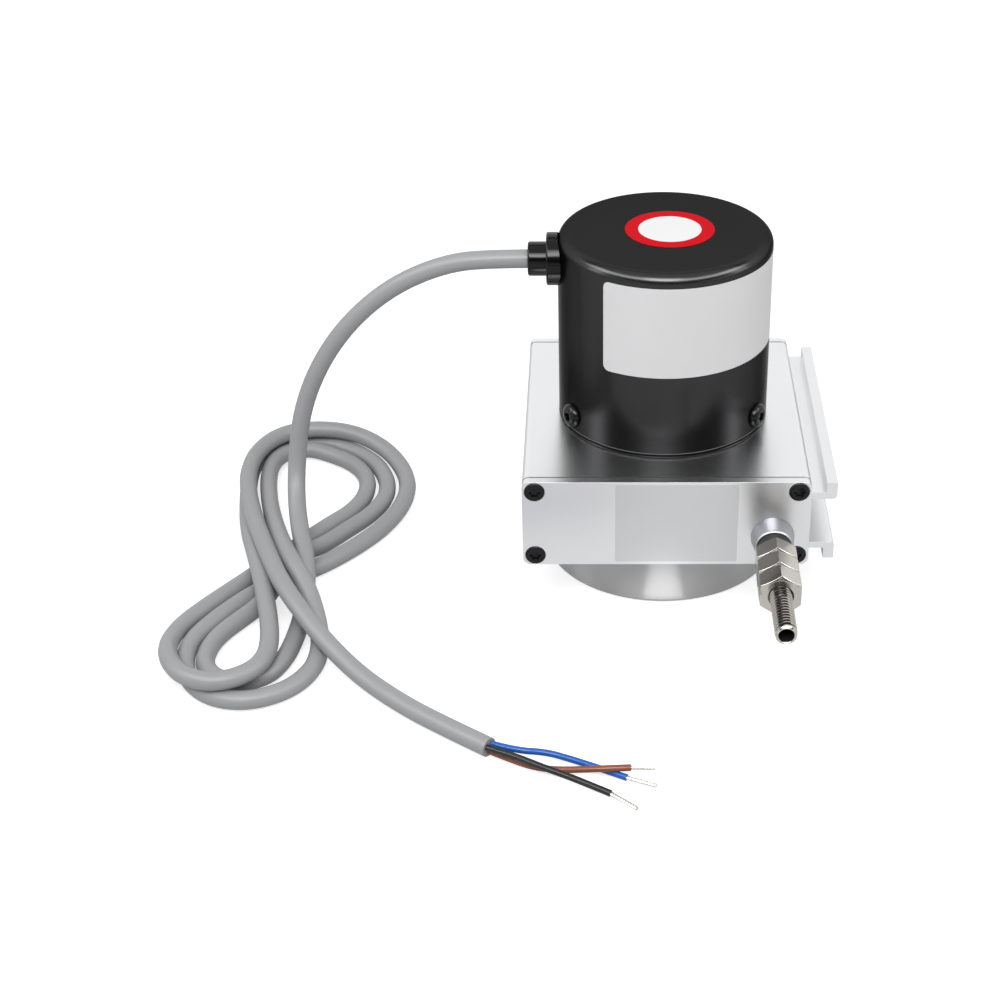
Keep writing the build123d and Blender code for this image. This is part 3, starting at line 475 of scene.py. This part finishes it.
def twisted_tip(name, start, end, settings, finish):
    """Tinned strands twisted about a straight line, round a thin core."""
    start = Vector(start) * MM
    way = Vector(end) * MM - start
    reach = settings.strand_reach
    steps = 30
    shape = bmesh.new()
    for number in range(settings.strands):
        turn = math.tau * number / settings.strands
        place = Matrix.Translation((reach * math.cos(turn), reach * math.sin(turn), 0))
        bmesh.ops.create_circle(shape, cap_ends=False, segments=8, radius=settings.strand / 2, matrix=place)
    bmesh.ops.spin(shape, geom=list(shape.verts) + list(shape.edges), cent=(0, 0, 0), axis=(0, 0, 1),
                   dvec=(0, 0, way.length / steps), angle=math.tau * way.length / settings.lay, steps=steps)
    bmesh.ops.holes_fill(shape, edges=[edge for edge in shape.edges if edge.is_boundary])
    core = turned([(reach * 0.7, 0), (reach * 0.7, way.length * 0.99)], count=12, capped=True)
    whole = stand(joined([shape, core]), start, way)
    return new_piece(name, whole, finish, sharp=60)


# ---------------------------------------------------------------- operators
class ENCODER_OT_stage(bpy.types.Operator):
    """Makes the camera, the pale floor, the softboxes, the cards and the white room"""
    bl_idname = "encoder.stage"
    bl_label = "Stage"

    def execute(self, context):
        settings = context.scene.encoder_stage
        context.scene.view_settings.view_transform = "Standard"
        self.camera(context, settings)
        self.room(context, settings)
        self.floor(settings)
        self.softbox("overhead", settings.overhead, width=0.9, height=0.8, place=(0.0, 0.0, 0.8))
        self.softbox("front", settings.front, width=0.5, height=0.4, place=(-0.05, -0.6, 0.75))
        self.softbox("left", settings.side, width=0.2, height=0.5, place=(-0.65, -0.15, 0.35))
        self.softbox("right", settings.side, width=0.2, height=0.5, place=(0.65, -0.1, 0.4))
        self.cloth()
        self.bent_card(settings)
        self.low_card(settings)
        return {"FINISHED"}

    def camera(self, context, settings):
        lens = bpy.data.cameras.new("camera")
        lens.lens = settings.lens
        lens.sensor_width = 36
        lens.shift_x, lens.shift_y = settings.shift
        lens.clip_start = 0.01
        camera = bpy.data.objects.new("camera", lens)
        camera.location = settings.place
        camera.rotation_euler = Euler((math.radians(90) - settings.tilt, 0, settings.turn))
        context.scene.collection.objects.link(camera)
        context.scene.camera = camera

    def room(self, context, settings):
        """A white room, which lights the scene with less than it shows."""
        world = bpy.data.worlds.new("room")
        context.scene.world = world
        world.use_nodes = True
        tree = world.node_tree
        rays = add_node(tree, "LightPath").node.outputs
        seen = larger(tree, rays["Is Camera Ray"], rays["Is Glossy Ray"], rays["Is Transmission Ray"])
        strength = add_node(tree, "MapRange", {"To Min": settings.ambient, "To Max": 1.0}, {"Value": seen},
                            "Result")
        set_node(tree, tree.nodes["Background"], {"Color": WHITE}, {"Strength": strength})

    def floor(self, settings):
        """A pale floor, lifted towards the room's white for the camera and less so in reflections."""
        shape = bmesh.new()
        bmesh.ops.create_grid(shape, x_segments=1, y_segments=1, size=4.0)
        bmesh.ops.translate(shape, verts=shape.verts, vec=(0, 0, -0.2 * MM))
        material, tree, shader = new_material("pale_floor")
        rays = add_node(tree, "LightPath").node.outputs
        lift = add_node(tree, "MapRange", {"To Max": settings.floor_light},
                        {"Value": rays["Is Camera Ray"]}, "Result")
        mirrored = larger(tree, rays["Is Glossy Ray"], rays["Is Transmission Ray"])
        glint = add_node(tree, "MapRange", {"To Max": settings.floor_glint}, {"Value": mirrored}, "Result")
        total = add_node(tree, "Math", sources={0: lift, 1: glint})
        set_node(
            tree, shader,
            {"Base Color": (0.66, 0.66, 0.66, 1), "Roughness": 1.0, "Specular IOR Level": 0.0,
             "Emission Color": WHITE},
            {"Emission Strength": total},
        )
        dress(mesh_object("floor", shape), material)

    def softbox(self, name, power, width, height, place):
        """A rectangular light that points at the encoder."""
        light = bpy.data.lights.new(name, "AREA")
        light.shape = "RECTANGLE"
        light.energy = power
        light.size = width
        light.size_y = height
        lamp = bpy.data.objects.new(name, light)
        lamp.location = place
        way = Vector((0, 0, 0.05)) - Vector(place)
        lamp.rotation_euler = way.to_track_quat("-Z", "Y").to_euler()
        bpy.context.scene.collection.objects.link(lamp)

    def cloth(self):
        """A dark cloth that hangs over the stage and its front."""
        shape = bmesh.new()
        bmesh.ops.create_uvsphere(shape, u_segments=48, v_segments=32, radius=1.5)
        cut(shape, (0, -1.48, 0.2), (0, -0.4, 0.92), clear_inner=True)
        material, tree, shader = new_material("dark_cloth")
        set_node(tree, shader, {"Base Color": (0.02, 0.02, 0.02, 1), "Roughness": 1.0})
        self.only_reflected("dark_cloth", shape, material)

    def bent_card(self, settings):
        """A card above the camera, bent round the encoder."""
        rises = math.radians(36), math.radians(54)
        half = math.radians(100)
        bent = bmesh.new()
        ends = [bent.verts.new((0, -math.cos(rise), math.sin(rise))) for rise in rises]
        edge = bent.edges.new(ends)
        bmesh.ops.rotate(bent, cent=(0, 0, 0), verts=ends, matrix=Matrix.Rotation(-half, 3, "Z"))
        bmesh.ops.spin(bent, geom=[*ends, edge], cent=(0, 0, 0), axis=(0, 0, 1), angle=2 * half, steps=24)
        self.card("bent_card", bent, settings.bent_card)

    def low_card(self, settings):
        """A card on the floor before the base."""
        low = bmesh.new()
        bmesh.ops.create_grid(low, x_segments=1, y_segments=1, size=1.0)
        bmesh.ops.scale(low, verts=low.verts, vec=(7 * MM, 16 * MM, 1))
        bmesh.ops.translate(low, verts=low.verts, vec=(0, -52 * MM, 0.3 * MM))
        self.card("low_card", low, settings.low_card)

    def card(self, name, shape, strength):
        """A bright card, which only a first reflection shows."""
        material, tree, shader = new_material(name)
        depth = add_node(tree, "LightPath", output="Ray Depth")
        first = add_node(tree, "Math", {1: 1.5}, {0: depth}, operation="LESS_THAN")
        glow = add_node(tree, "Math", {1: strength}, {0: first}, operation="MULTIPLY")
        set_node(tree, shader, {"Base Color": (0, 0, 0, 1), "Emission Color": WHITE},
                 {"Emission Strength": glow})
        self.only_reflected(name, shape, material)

    def only_reflected(self, name, shape, finish):
        """Stages a shape that only reflections show."""
        sheet = mesh_object(name, shape)
        sheet.visible_camera = False
        sheet.visible_diffuse = False
        sheet.visible_shadow = False
        dress(sheet, finish)


class ENCODER_OT_cable(bpy.types.Operator):
    """Lays the grey cable in its hank, with its three conductors and their tinned tips"""
    bl_idname = "encoder.cable"
    bl_label = "Cable"

    def execute(self, context):
        settings = context.scene.encoder_cable
        jacket = surface("grey_jacket", settings.jacket_colour, 0.38, grain=900, specular=0.32, mottle=0.03)
        cable = spline_curve("signal_cable", CABLE_POINTS, settings.diameter, jacket)
        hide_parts("cable_lead", "cable_hank", "cable_tail")
        tinned = surface("tinned_strands", (0.72, 0.71, 0.69), 0.28, metallic=1.0, grain=2500)
        for colour, points, end, length in CONDUCTORS:
            skin = surface(f"{colour}_insulation", getattr(settings, colour), 0.3, grain=1500, relief=0.006,
                           mottle=0.06)
            cord = spline_curve(f"{colour}_conductor", points, settings.conductor,
                                skin, detail=10)
            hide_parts(f"conductor_{colour}")
            tip = twisted_tip(f"{colour}_tip", points[-1], end, settings, tinned)
        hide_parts("conductor_tips")
        return {"FINISHED"}


class ENCODER_OT_housing(bpy.types.Operator):
    """Finishes the drum housing, its plates, the film on the front and the turned base"""
    bl_idname = "encoder.housing"
    bl_label = "Housing"

    def execute(self, context):
        settings = context.scene.encoder_housing
        silver = surface("anodised_extrusion", settings.silver, 0.27, metallic=1.0, spread=0.003, grain=900,
                         stretch=(1, 0.25, 1), relief=0.00005, mottle=0.015)
        plate = surface("anodised_plate", settings.silver, 0.3, metallic=1.0, spread=0.004, grain=1400,
                        relief=0.00008, mottle=0.015)
        base = surface("turned_base", settings.turned, 0.4, metallic=1.0, grain=60, stretch=(1, 1, 60),
                       mottle=0.02)
        self.turning_marks(base)
        softened_copy("housing_extrusion", "drum_housing", silver, settings.edge)
        softened_copy("front_plate", "front_cover_plate", plate, settings.edge)
        softened_copy("rear_plate", "rear_cover_plate", plate, settings.edge)
        softened_copy("spring_housing", "spring_case", base, settings.edge)
        rubber = surface("plate_gasket", (0.03, 0.03, 0.032), 0.6, grain=1500)
        self.gasket(settings, "front_gasket", plate_high.y, rubber)
        self.gasket(settings, "rear_gasket", rear_low.y, rubber)
        self.film(settings)
        return {"FINISHED"}

    def turning_marks(self, finish):
        """Stretches a finish's highlights across marks that run round the upright axis."""
        tree = finish.node_tree
        tangent = add_node(tree, "Tangent", output="Tangent", direction_type="RADIAL", axis="Z")
        set_node(tree, tree.nodes["Principled BSDF"], {"Anisotropic": 0.85, "Anisotropic Rotation": 0.25},
                 {"Tangent": tangent})

    def gasket(self, settings, name, level, finish):
        """A thin gasket about the meeting of a plate and the housing, a hair proud all round."""
        middle = Vector((0, level, PLATE_LEVEL))
        seal = rounded_sheet(PLATE_WIDTH, PLATE_HEIGHT, settings.corner)
        bmesh.ops.translate(seal, verts=seal.verts, vec=middle - Vector((0, settings.gasket / 2, 0)))
        outline = bmesh.ops.extrude_face_region(seal, geom=list(seal.faces))["geom"]
        moved = [item for item in outline if isinstance(item, bmesh.types.BMVert)]
        bmesh.ops.translate(seal, verts=moved, vec=(0, settings.gasket, 0))
        bmesh.ops.scale(seal, verts=seal.verts, vec=(1.0002, 1, 1.0008), space=Matrix.Translation(-middle))
        new_piece(name, seal, finish)

    def film(self, settings):
        """The clear film on the front plate."""
        clear = surface("clear_film", (0.68, 0.685, 0.7), 0.33, metallic=0.85, grain=1200, relief=0.006,
                        mottle=0.01)
        middle = (settings.film_left + settings.film_right) / 2
        width = settings.film_right - settings.film_left
        sheet = rounded_sheet(width, PLATE_HEIGHT - 2 * settings.film_margin, settings.film_corner)
        bmesh.ops.translate(sheet, verts=sheet.verts, vec=(middle, FRONT_Y - SHEET_GAP, PLATE_LEVEL))
        bmesh.ops.recalc_face_normals(sheet, faces=sheet.faces)
        thicken(sheet, settings.film)
        new_piece("front_film", sheet, clear)


class ENCODER_OT_can(bpy.types.Operator):
    """Finishes the encoder can, its flange and gland, and makes its labels and its foot: a rim of painted
    highlight over a seal that is partly painted shadow
    """
    bl_idname = "encoder.can"
    bl_label = "Encoder can"

    def execute(self, context):
        settings = context.scene.encoder_can
        paint = surface("can_paint", settings.colour, 0.24, metallic=1.0, grain=1300, mottle=0.04, tint=0.4)
        plastic = surface("gland_plastic", (0.004, 0.004, 0.0045), 0.14, grain=900, specular=0.25)
        softened_copy("encoder_cover", "can", paint, width=0.2 * MM)
        softened_copy("encoder_flange", "can_flange", paint, width=0.12 * MM)
        softened_copy("cable_gland", "gland", plastic, width=0.15 * MM)
        self.foot(settings)
        self.wrap_label(settings)
        self.sticker(settings)
        return {"FINISHED"}

    def foot(self, settings):
        """The grey rim at the can's foot, a painted highlight where its edge catches the light, and the
        black seal that it presses on, partly a seal and partly painted shadow in the gap.
        """
        # painted highlight: a matt grey ring where the foot's edge catches the light
        bare = surface("bare_rim", (0.16, 0.16, 0.165), 0.5, grain=1500, mottle=0.02)
        # painted shadow: a black seal with almost no reflection, where the gap under the can lies in shade
        rubber = surface("foot_seal", (0.002, 0.002, 0.002), 0.8, grain=1500, specular=0.05)
        inner = CAN_RADIUS - 0.15 * MM
        meeting = can_low.z
        rim = ring(inner, CAN_RADIUS + 0.02 * MM, meeting, meeting + settings.rim, count=192)
        new_piece("can_foot_rim", rim, bare, sharp=38)
        seal = ring(inner, CAN_RADIUS + 0.01 * MM, BOX_TOP + 0.25 * MM, meeting, count=192)
        new_piece("can_foot_seal", seal, rubber, sharp=38)

    def wrap_label(self, settings):
        """The bare label, bent round the can."""
        vinyl = surface("label_vinyl", (0.8, 0.8, 0.81), 0.34, grain=1500, mottle=0.012)
        width = (settings.label_end - settings.label_start) * CAN_RADIUS
        height = settings.label_high - settings.label_low
        middle = (settings.label_start + settings.label_end) / 2
        level = BOX_TOP + (settings.label_low + settings.label_high) / 2
        reach = CAN_RADIUS + SHEET_GAP
        sheet = rounded_sheet(width, height, settings.label_corner, steps=72)
        for vertex in sheet.verts:
            angle = middle + vertex.co.x / CAN_RADIUS
            vertex.co = Vector((reach * math.sin(angle), -reach * math.cos(angle), level + vertex.co.z))
        for face in sheet.faces:
            out = face.calc_center_median()
            if face.normal.dot(Vector((out.x, out.y, 0))) < 0:
                face.normal_flip()
        thicken(sheet, settings.label_thickness)
        new_piece("can_label", sheet, vinyl)

    def sticker(self, settings):
        """The sticker on the roof: a red ring round a white disc."""
        white = surface("sticker_white", (0.9, 0.9, 0.9), 0.5, grain=1500, mottle=0.012, specular=0.05)
        red = surface("sticker_red", (0.66, 0.008, 0.016), 0.5, grain=1500, mottle=0.02, specular=0.02)
        centre = (*settings.sticker_place, can_high.z)
        thickness = settings.label_thickness
        inner = settings.sticker_inner / 2
        disc = turned([(inner, 0), (inner, thickness)], count=96, capped=True)
        stand(disc, centre, (0, 0, 1), up=(0, 1, 0))
        new_piece("roof_sticker_middle", disc, white)
        border = ring(inner, settings.sticker / 2, 0, thickness, count=96)
        stand(border, centre, (0, 0, 1), up=(0, 1, 0))
        new_piece("roof_sticker_ring", border, red)


class ENCODER_OT_screws(bpy.types.Operator):
    """Makes the black socket screws of the plates and of the can"""
    bl_idname = "encoder.screws"
    bl_label = "Screws"

    def execute(self, context):
        settings = context.scene.encoder_screws
        black = surface("blackened_steel", (0.006, 0.006, 0.0065), 0.22, grain=1800, mottle=0.08,
                        specular=0.28)
        self.plate_screws(settings, "front_plate_screws", "front_screw_heads", FRONT_Y, -1, black)
        self.plate_screws(settings, "rear_plate_screws", "rear_screw_heads", REAR_Y, 1, black)
        low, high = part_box("cover_screws")
        level = (low.z + high.z) / 2 + settings.button_rise
        seat = math.sqrt(CAN_RADIUS**2 - (settings.button / 2) ** 2)
        heads = []
        for turn in (math.radians(-150), math.radians(-30), math.radians(90)):
            way = Vector((math.cos(turn), math.sin(turn), 0))
            head = self.head(settings, settings.button, sink=0.02 * MM, rise=2.0 * MM, crown=1.7 * MM,
                             dome=1.6 * MM)
            heads.append(stand(head, way * seat + Vector((0, 0, level)), way))
        new_piece("can_screw_heads", joined(heads), black, sharp=38, node="cover_screws")
        return {"FINISHED"}

    def plate_screws(self, settings, node, name, face, way, finish):
        """The four heads on one plate."""
        low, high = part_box(node)
        inset = settings.head / 2
        heads = []
        for x in (low.x + inset, high.x - inset):
            for z in (low.z + inset, high.z - inset):
                head = self.head(settings, settings.head, sink=1.2 * MM, rise=0.4 * MM, crown=0.6 * MM,
                                 dome=0.35 * MM)
                heads.append(stand(head, (x, face, z), (0, way, 0)))
        new_piece(name, joined(heads), finish, sharp=38, node=node)

    def head(self, settings, width, sink, rise, crown, dome):
        """One head about local Z: sunk below zero, domed above it, with a six lobe socket."""
        reach = width / 2
        mouth = settings.socket / 2
        floor = rise - settings.socket_depth

        def lobed(scale):
            return lambda turn: scale * mouth + settings.lobe * math.cos(settings.lobes * turn) / 2

        arc = [(reach - crown * (1 - math.cos(climb)), rise - dome * (1 - math.sin(climb)))
               for climb in (math.radians(15 * step) for step in range(7))]
        return turned([
            (reach, -sink), *arc, (mouth + 0.42 * MM, rise), (lobed(1.12), rise - 0.03 * MM),
            (lobed(1.0), rise - 0.14 * MM), (lobed(0.97), floor), (0.3 * MM, floor - 0.2 * MM),
        ], capped=True)


class ENCODER_OT_wire_end(bpy.types.Operator):
    """Makes the nozzle, the threaded wire end with its hexagons, and the measuring wire"""
    bl_idname = "encoder.wire_end"
    bl_label = "Wire end"

    def execute(self, context):
        settings = context.scene.encoder_wire_end
        nickel = surface("nickel_plate", settings.colour, 0.2, metallic=1.0, grain=1600, mottle=0.05)
        rubber = surface("buffer_rubber", (0.02, 0.02, 0.021), 0.55, grain=1200, relief=0.02)
        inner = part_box("clamp_nut_inner")
        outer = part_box("clamp_nut_outer")
        self.nozzle(settings)
        dress_node("end_buffer", rubber)
        dress_node("wire_wiper", rubber)
        self.hexagon(settings, "end_hexagon", "wire_end_stud", inner[1].y, stud_high.y, nickel)
        self.stud(settings, outer[0].y + 1.5 * MM, inner[1].y, nickel)
        for side, (low, high) in (("inner", inner), ("outer", outer)):
            self.hexagon(settings, f"hexagon_nut_{side}", f"clamp_nut_{side}", low.y, high.y, nickel,
                         bored=True)
        self.wire(settings)
        return {"FINISHED"}

    def nozzle(self, settings):
        """The nozzle that the wire leaves by: a cone with a rolled rim round the end buffer."""
        satin = surface("nozzle_satin", (0.4, 0.41, 0.43), 0.45, metallic=1.0, grain=1400)
        low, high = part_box("wire_nozzle")
        foot = (high.x - low.x) / 2
        seat = settings.buffer_seat
        bore = settings.nozzle_bore
        mouth = high.y - low.y
        plate = high.y - FRONT_Y
        shape = turned([
            (foot, 0), (foot, plate + 0.5 * MM), (foot - 0.08 * MM, plate + 0.8 * MM),
            (seat + 0.62 * MM, mouth - 0.5 * MM), (seat + 0.5 * MM, mouth - 0.2 * MM),
            (seat + 0.28 * MM, mouth), (seat + 0.12 * MM, mouth), (seat, mouth - 0.12 * MM),
            (seat, mouth - 1 * MM), (bore, mouth - 1 * MM), (bore, 0), (foot, 0),
        ], count=72)
        stand(shape, (WIRE_X, high.y, WIRE_Z), WIRE_WAY)
        new_piece("nozzle", shape, satin, sharp=40, node="wire_nozzle")

    def hexagon(self, settings, name, node, low, high, finish, bored=False):
        """A hexagon between two places along the wire, its corners turned off at both ends."""
        length = high - low
        flat = settings.across_flats / 2
        crown = flat - settings.crown
        slope = math.tan(math.radians(30))
        sixth = math.radians(60)

        def six_sided(turn):
            off = (turn + sixth / 2) % sixth - sixth / 2
            return flat / math.cos(off)

        def turned_off(sign):
            return lambda reach, turn: sign * (reach - crown) * slope

        sections = [
            (crown, 0), (six_sided, 0, turned_off(1)), (six_sided, length, turned_off(-1)), (crown, length),
        ]
        if bored:
            bore = settings.major / 2 + 0.02 * MM
            sink = 0.45 * MM
            sections = [(bore, sink), (bore + sink, 0), *sections, (bore + sink, length),
                        (bore, length - sink), (bore, sink)]
        shape = turned(sections, count=72, capped=not bored)
        stand(shape, (WIRE_X, high, WIRE_Z), WIRE_WAY)
        piece = new_piece(name, shape, finish, body="wire_end", sharp=20, node=node)
        soften(piece, width=0.07 * MM, angle=18)

    def stud(self, settings, start, end, nickel):
        """The stud: threaded from its start to its tip, and plain from there back to its end; its bore is
        painted near black as shade.
        """
        thread = surface("nickel_thread", settings.colour, 0.17, metallic=1.0, grain=2200, relief=0.0015,
                         mottle=0.05)
        painted_shade = surface("bore_shade", (0.012, 0.011, 0.01), 0.5)
        self.paint_root_shade(thread, settings)
        shape = self.rod(settings, start - stud_low.y, end - start)
        stand(shape, (WIRE_X, start, WIRE_Z), WIRE_WAY)
        stud = new_piece("threaded_stud", shape, thread, body="wire_end", sharp=35)
        stud.data.materials.append(painted_shade)
        stud.data.materials.append(nickel)
        # The bore's faces get the near-black painted shade, the faces at the tip the plain nickel.
        for face in stud.data.polygons:
            off = Vector((face.center.x - WIRE_X, face.center.z - WIRE_Z)).length
            if off < settings.bore / 2 + 0.01 * MM:
                face.material_index = 1
            elif face.center.y < stud_low.y + 1.2 * MM:
                face.material_index = 2

    def paint_root_shade(self, finish, settings):
        """Paints shade into a thread's colour: darker towards its roots."""
        tree = finish.node_tree
        across = {"Location": (-WIRE_X, 0, -WIRE_Z), "Scale": (1, 0, 1)}
        place = add_node(tree, "TexCoord", output="Object")
        moved = add_node(tree, "Mapping", across, {"Vector": place}, "Vector")
        reach = add_node(tree, "VectorMath", sources={0: moved}, output="Value", operation="LENGTH")
        root_shade_limits = {"From Min": settings.major / 2 - 0.7 * settings.depth,
                  "From Max": settings.major / 2 - 0.15 * settings.depth}
        depth = add_node(tree, "MapRange", root_shade_limits, {"Value": reach}, "Result")
        # painted shade: a dark brown in the thread's roots, the plain nickel on its crests
        root_shade_tones = {"A": (0.055, 0.05, 0.044, 1), "B": (*settings.colour, 1)}
        root_shade = add_node(tree, "Mix", root_shade_tones, {"Factor": depth}, "Result", data_type="RGBA")
        set_node(tree, tree.nodes["Principled BSDF"], sources={"Base Color": root_shade})

    def rod(self, settings, length, depth):
        """The rod about local Z: plain below zero, threaded above it and bored from its turned tip."""
        major = settings.major / 2
        minor = major - settings.depth
        pitch = settings.pitch
        neck = length - settings.tip
        near = 0.1 * MM
        shape = bmesh.new()
        profile = ((minor, 0.0), (minor, 0.08), (major, 0.36), (major, 0.6), (minor, 0.88), (minor, 1.0))
        chain = [shape.verts.new((radius, 0, pitch * (along - 2))) for radius, along in profile]
        edges = [shape.edges.new(pair) for pair in zip(chain, chain[1:])]
        turns = math.ceil(length / pitch) + 3
        steps = 32
        bmesh.ops.spin(shape, geom=chain + edges, cent=(0, 0, 0), axis=(0, 0, 1),
                       dvec=(0, 0, pitch / steps), angle=math.tau * turns, steps=steps * turns)
        bmesh.ops.remove_doubles(shape, verts=shape.verts, dist=0.002 * MM)
        cut(shape, (0, 0, 0), (0, 0, -1), clear_outer=True)
        cut(shape, (0, 0, neck), (0, 0, 1), clear_outer=True)
        open_edges = [edge for edge in shape.edges if edge.is_boundary]
        start = [edge for edge in open_edges if all(vertex.co.z < near for vertex in edge.verts)]
        end = [edge for edge in open_edges if all(vertex.co.z > neck - near for vertex in edge.verts)]
        bore = settings.bore / 2
        root = grow(shape, start, [(minor, 0), (minor, -depth)])
        bottom = grow(shape, end, [
            (minor + 0.1 * MM, neck + 0.1 * MM), (major - 0.12 * MM, neck + 0.35 * MM),
            (major - 0.12 * MM, length - 0.45 * MM), (major - 0.5 * MM, length - 0.04 * MM),
            (major - 0.58 * MM, length), (bore + 0.12 * MM, length), (bore, length - 0.12 * MM),
            (bore, 1 * MM - depth),
        ])
        bmesh.ops.edgeloop_fill(shape, edges=root)
        bmesh.ops.edgeloop_fill(shape, edges=bottom)
        return shape

    def wire(self, settings):
        """The measuring wire, which pays out between the housing and the wire end."""
        steel = surface("wire_steel", (0.55, 0.55, 0.56), 0.3, metallic=1.0, grain=2500)
        low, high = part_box("measuring_wire")
        length = high.y - low.y
        rings = 160
        shape = turned([(settings.wire / 2, length * step / rings) for step in range(rings + 1)], count=12,
                       capped=True)
        stand(shape, (WIRE_X, high.y, WIRE_Z), WIRE_WAY)
        bmesh.ops.recalc_face_normals(shape, faces=shape.faces)
        for face in shape.faces:
            face.smooth = True
        piece = mesh_object("wire", shape)
        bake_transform(piece)
        dress(piece, steel)
        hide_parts("measuring_wire")


class ENCODER_OT_inside(bpy.types.Operator):
    """Finishes the shaft, bearings, drum, spring and electronics inside"""
    bl_idname = "encoder.inside"
    bl_label = "Inner parts"

    def execute(self, context):
        finishes = (
            (surface("ground_steel", (0.62, 0.63, 0.64), 0.18, metallic=1.0), (
                "main_shaft", "lower_bearing_outer", "lower_bearing_inner", "upper_bearing_outer",
                "upper_bearing_inner")),
            (surface("spring_steel", (0.3, 0.32, 0.38), 0.28, metallic=1.0), ("power_spring",)),
            (surface("zinc_plate", (0.6, 0.61, 0.62), 0.3, metallic=1.0), (
                "base_screws", "flange_screws", "board_screws", "board_posts", "shaft_circlip",
                "nozzle_lock_nut")),
            (surface("turned_drum", (0.74, 0.74, 0.75), 0.3, metallic=1.0, stretch=(1, 1, 20)), (
                "wire_drum", "disc_hub", "spring_cover", "spring_arbor", "hub_spacer")),
            (surface("wound_rope", (0.5, 0.5, 0.51), 0.35, metallic=1.0, grain=2500, relief=0.05), (
                "wound_wire", "wire_ferrule")),
            (surface("seal_rubber", (0.02, 0.02, 0.02), 0.6), ("flange_seal",)),
            (surface("bush_acetal", (0.75, 0.75, 0.72), 0.4), ("nozzle_bush",)),
            (surface("nut_plastic", (0.015, 0.015, 0.016), 0.35), ("gland_nut",)),
            (surface("sensor_plastic", (0.03, 0.03, 0.033), 0.5), ("sensor_head",)),
            (surface("terminal_plastic", (0.06, 0.36, 0.14), 0.45), ("cable_terminal",)),
            (surface("solder_mask", (0.015, 0.14, 0.06), 0.3, coat=0.3), ("circuit_board",)),
            (surface("code_disc", (0.25, 0.27, 0.3), 0.15), ("code_disc",)),
        )
        for finish, names in finishes:
            for name in names:
                dress_node(name, finish)
        return {"FINISHED"}


class ENCODER_PT_panel(bpy.types.Panel):
    """Lists the encoder's operators"""
    bl_idname = "ENCODER_PT_panel"
    bl_label = "Draw wire encoder"
    bl_space_type = "VIEW_3D"
    bl_region_type = "UI"
    bl_category = "Encoder"

    def draw(self, context):
        for step in STEPS:
            self.layout.operator(step.bl_idname)


SETTINGS = (
    ("encoder_cable", CableSettings),
    ("encoder_housing", HousingSettings),
    ("encoder_can", CanSettings),
    ("encoder_wire_end", WireEndSettings),
    ("encoder_screws", ScrewSettings),
    ("encoder_stage", StageSettings),
)
STEPS = (
    ENCODER_OT_stage,
    ENCODER_OT_cable,
    ENCODER_OT_housing,
    ENCODER_OT_can,
    ENCODER_OT_screws,
    ENCODER_OT_wire_end,
    ENCODER_OT_inside,
)


def register():
    for name, group in SETTINGS:
        bpy.utils.register_class(group)
        setattr(bpy.types.Scene, name, PointerProperty(type=group))
    for step in STEPS:
        bpy.utils.register_class(step)
    bpy.utils.register_class(ENCODER_PT_panel)


def unregister():
    bpy.utils.unregister_class(ENCODER_PT_panel)
    for step in reversed(STEPS):
        bpy.utils.unregister_class(step)
    for name, group in reversed(SETTINGS):
        delattr(bpy.types.Scene, name)
        bpy.utils.unregister_class(group)


def main():
    register()
    for step in STEPS:
        group, action = step.bl_idname.split(".")
        getattr(getattr(bpy.ops, group), action)()
    bpy.context.view_layer.update()


if __name__ == "__main__":
    main()
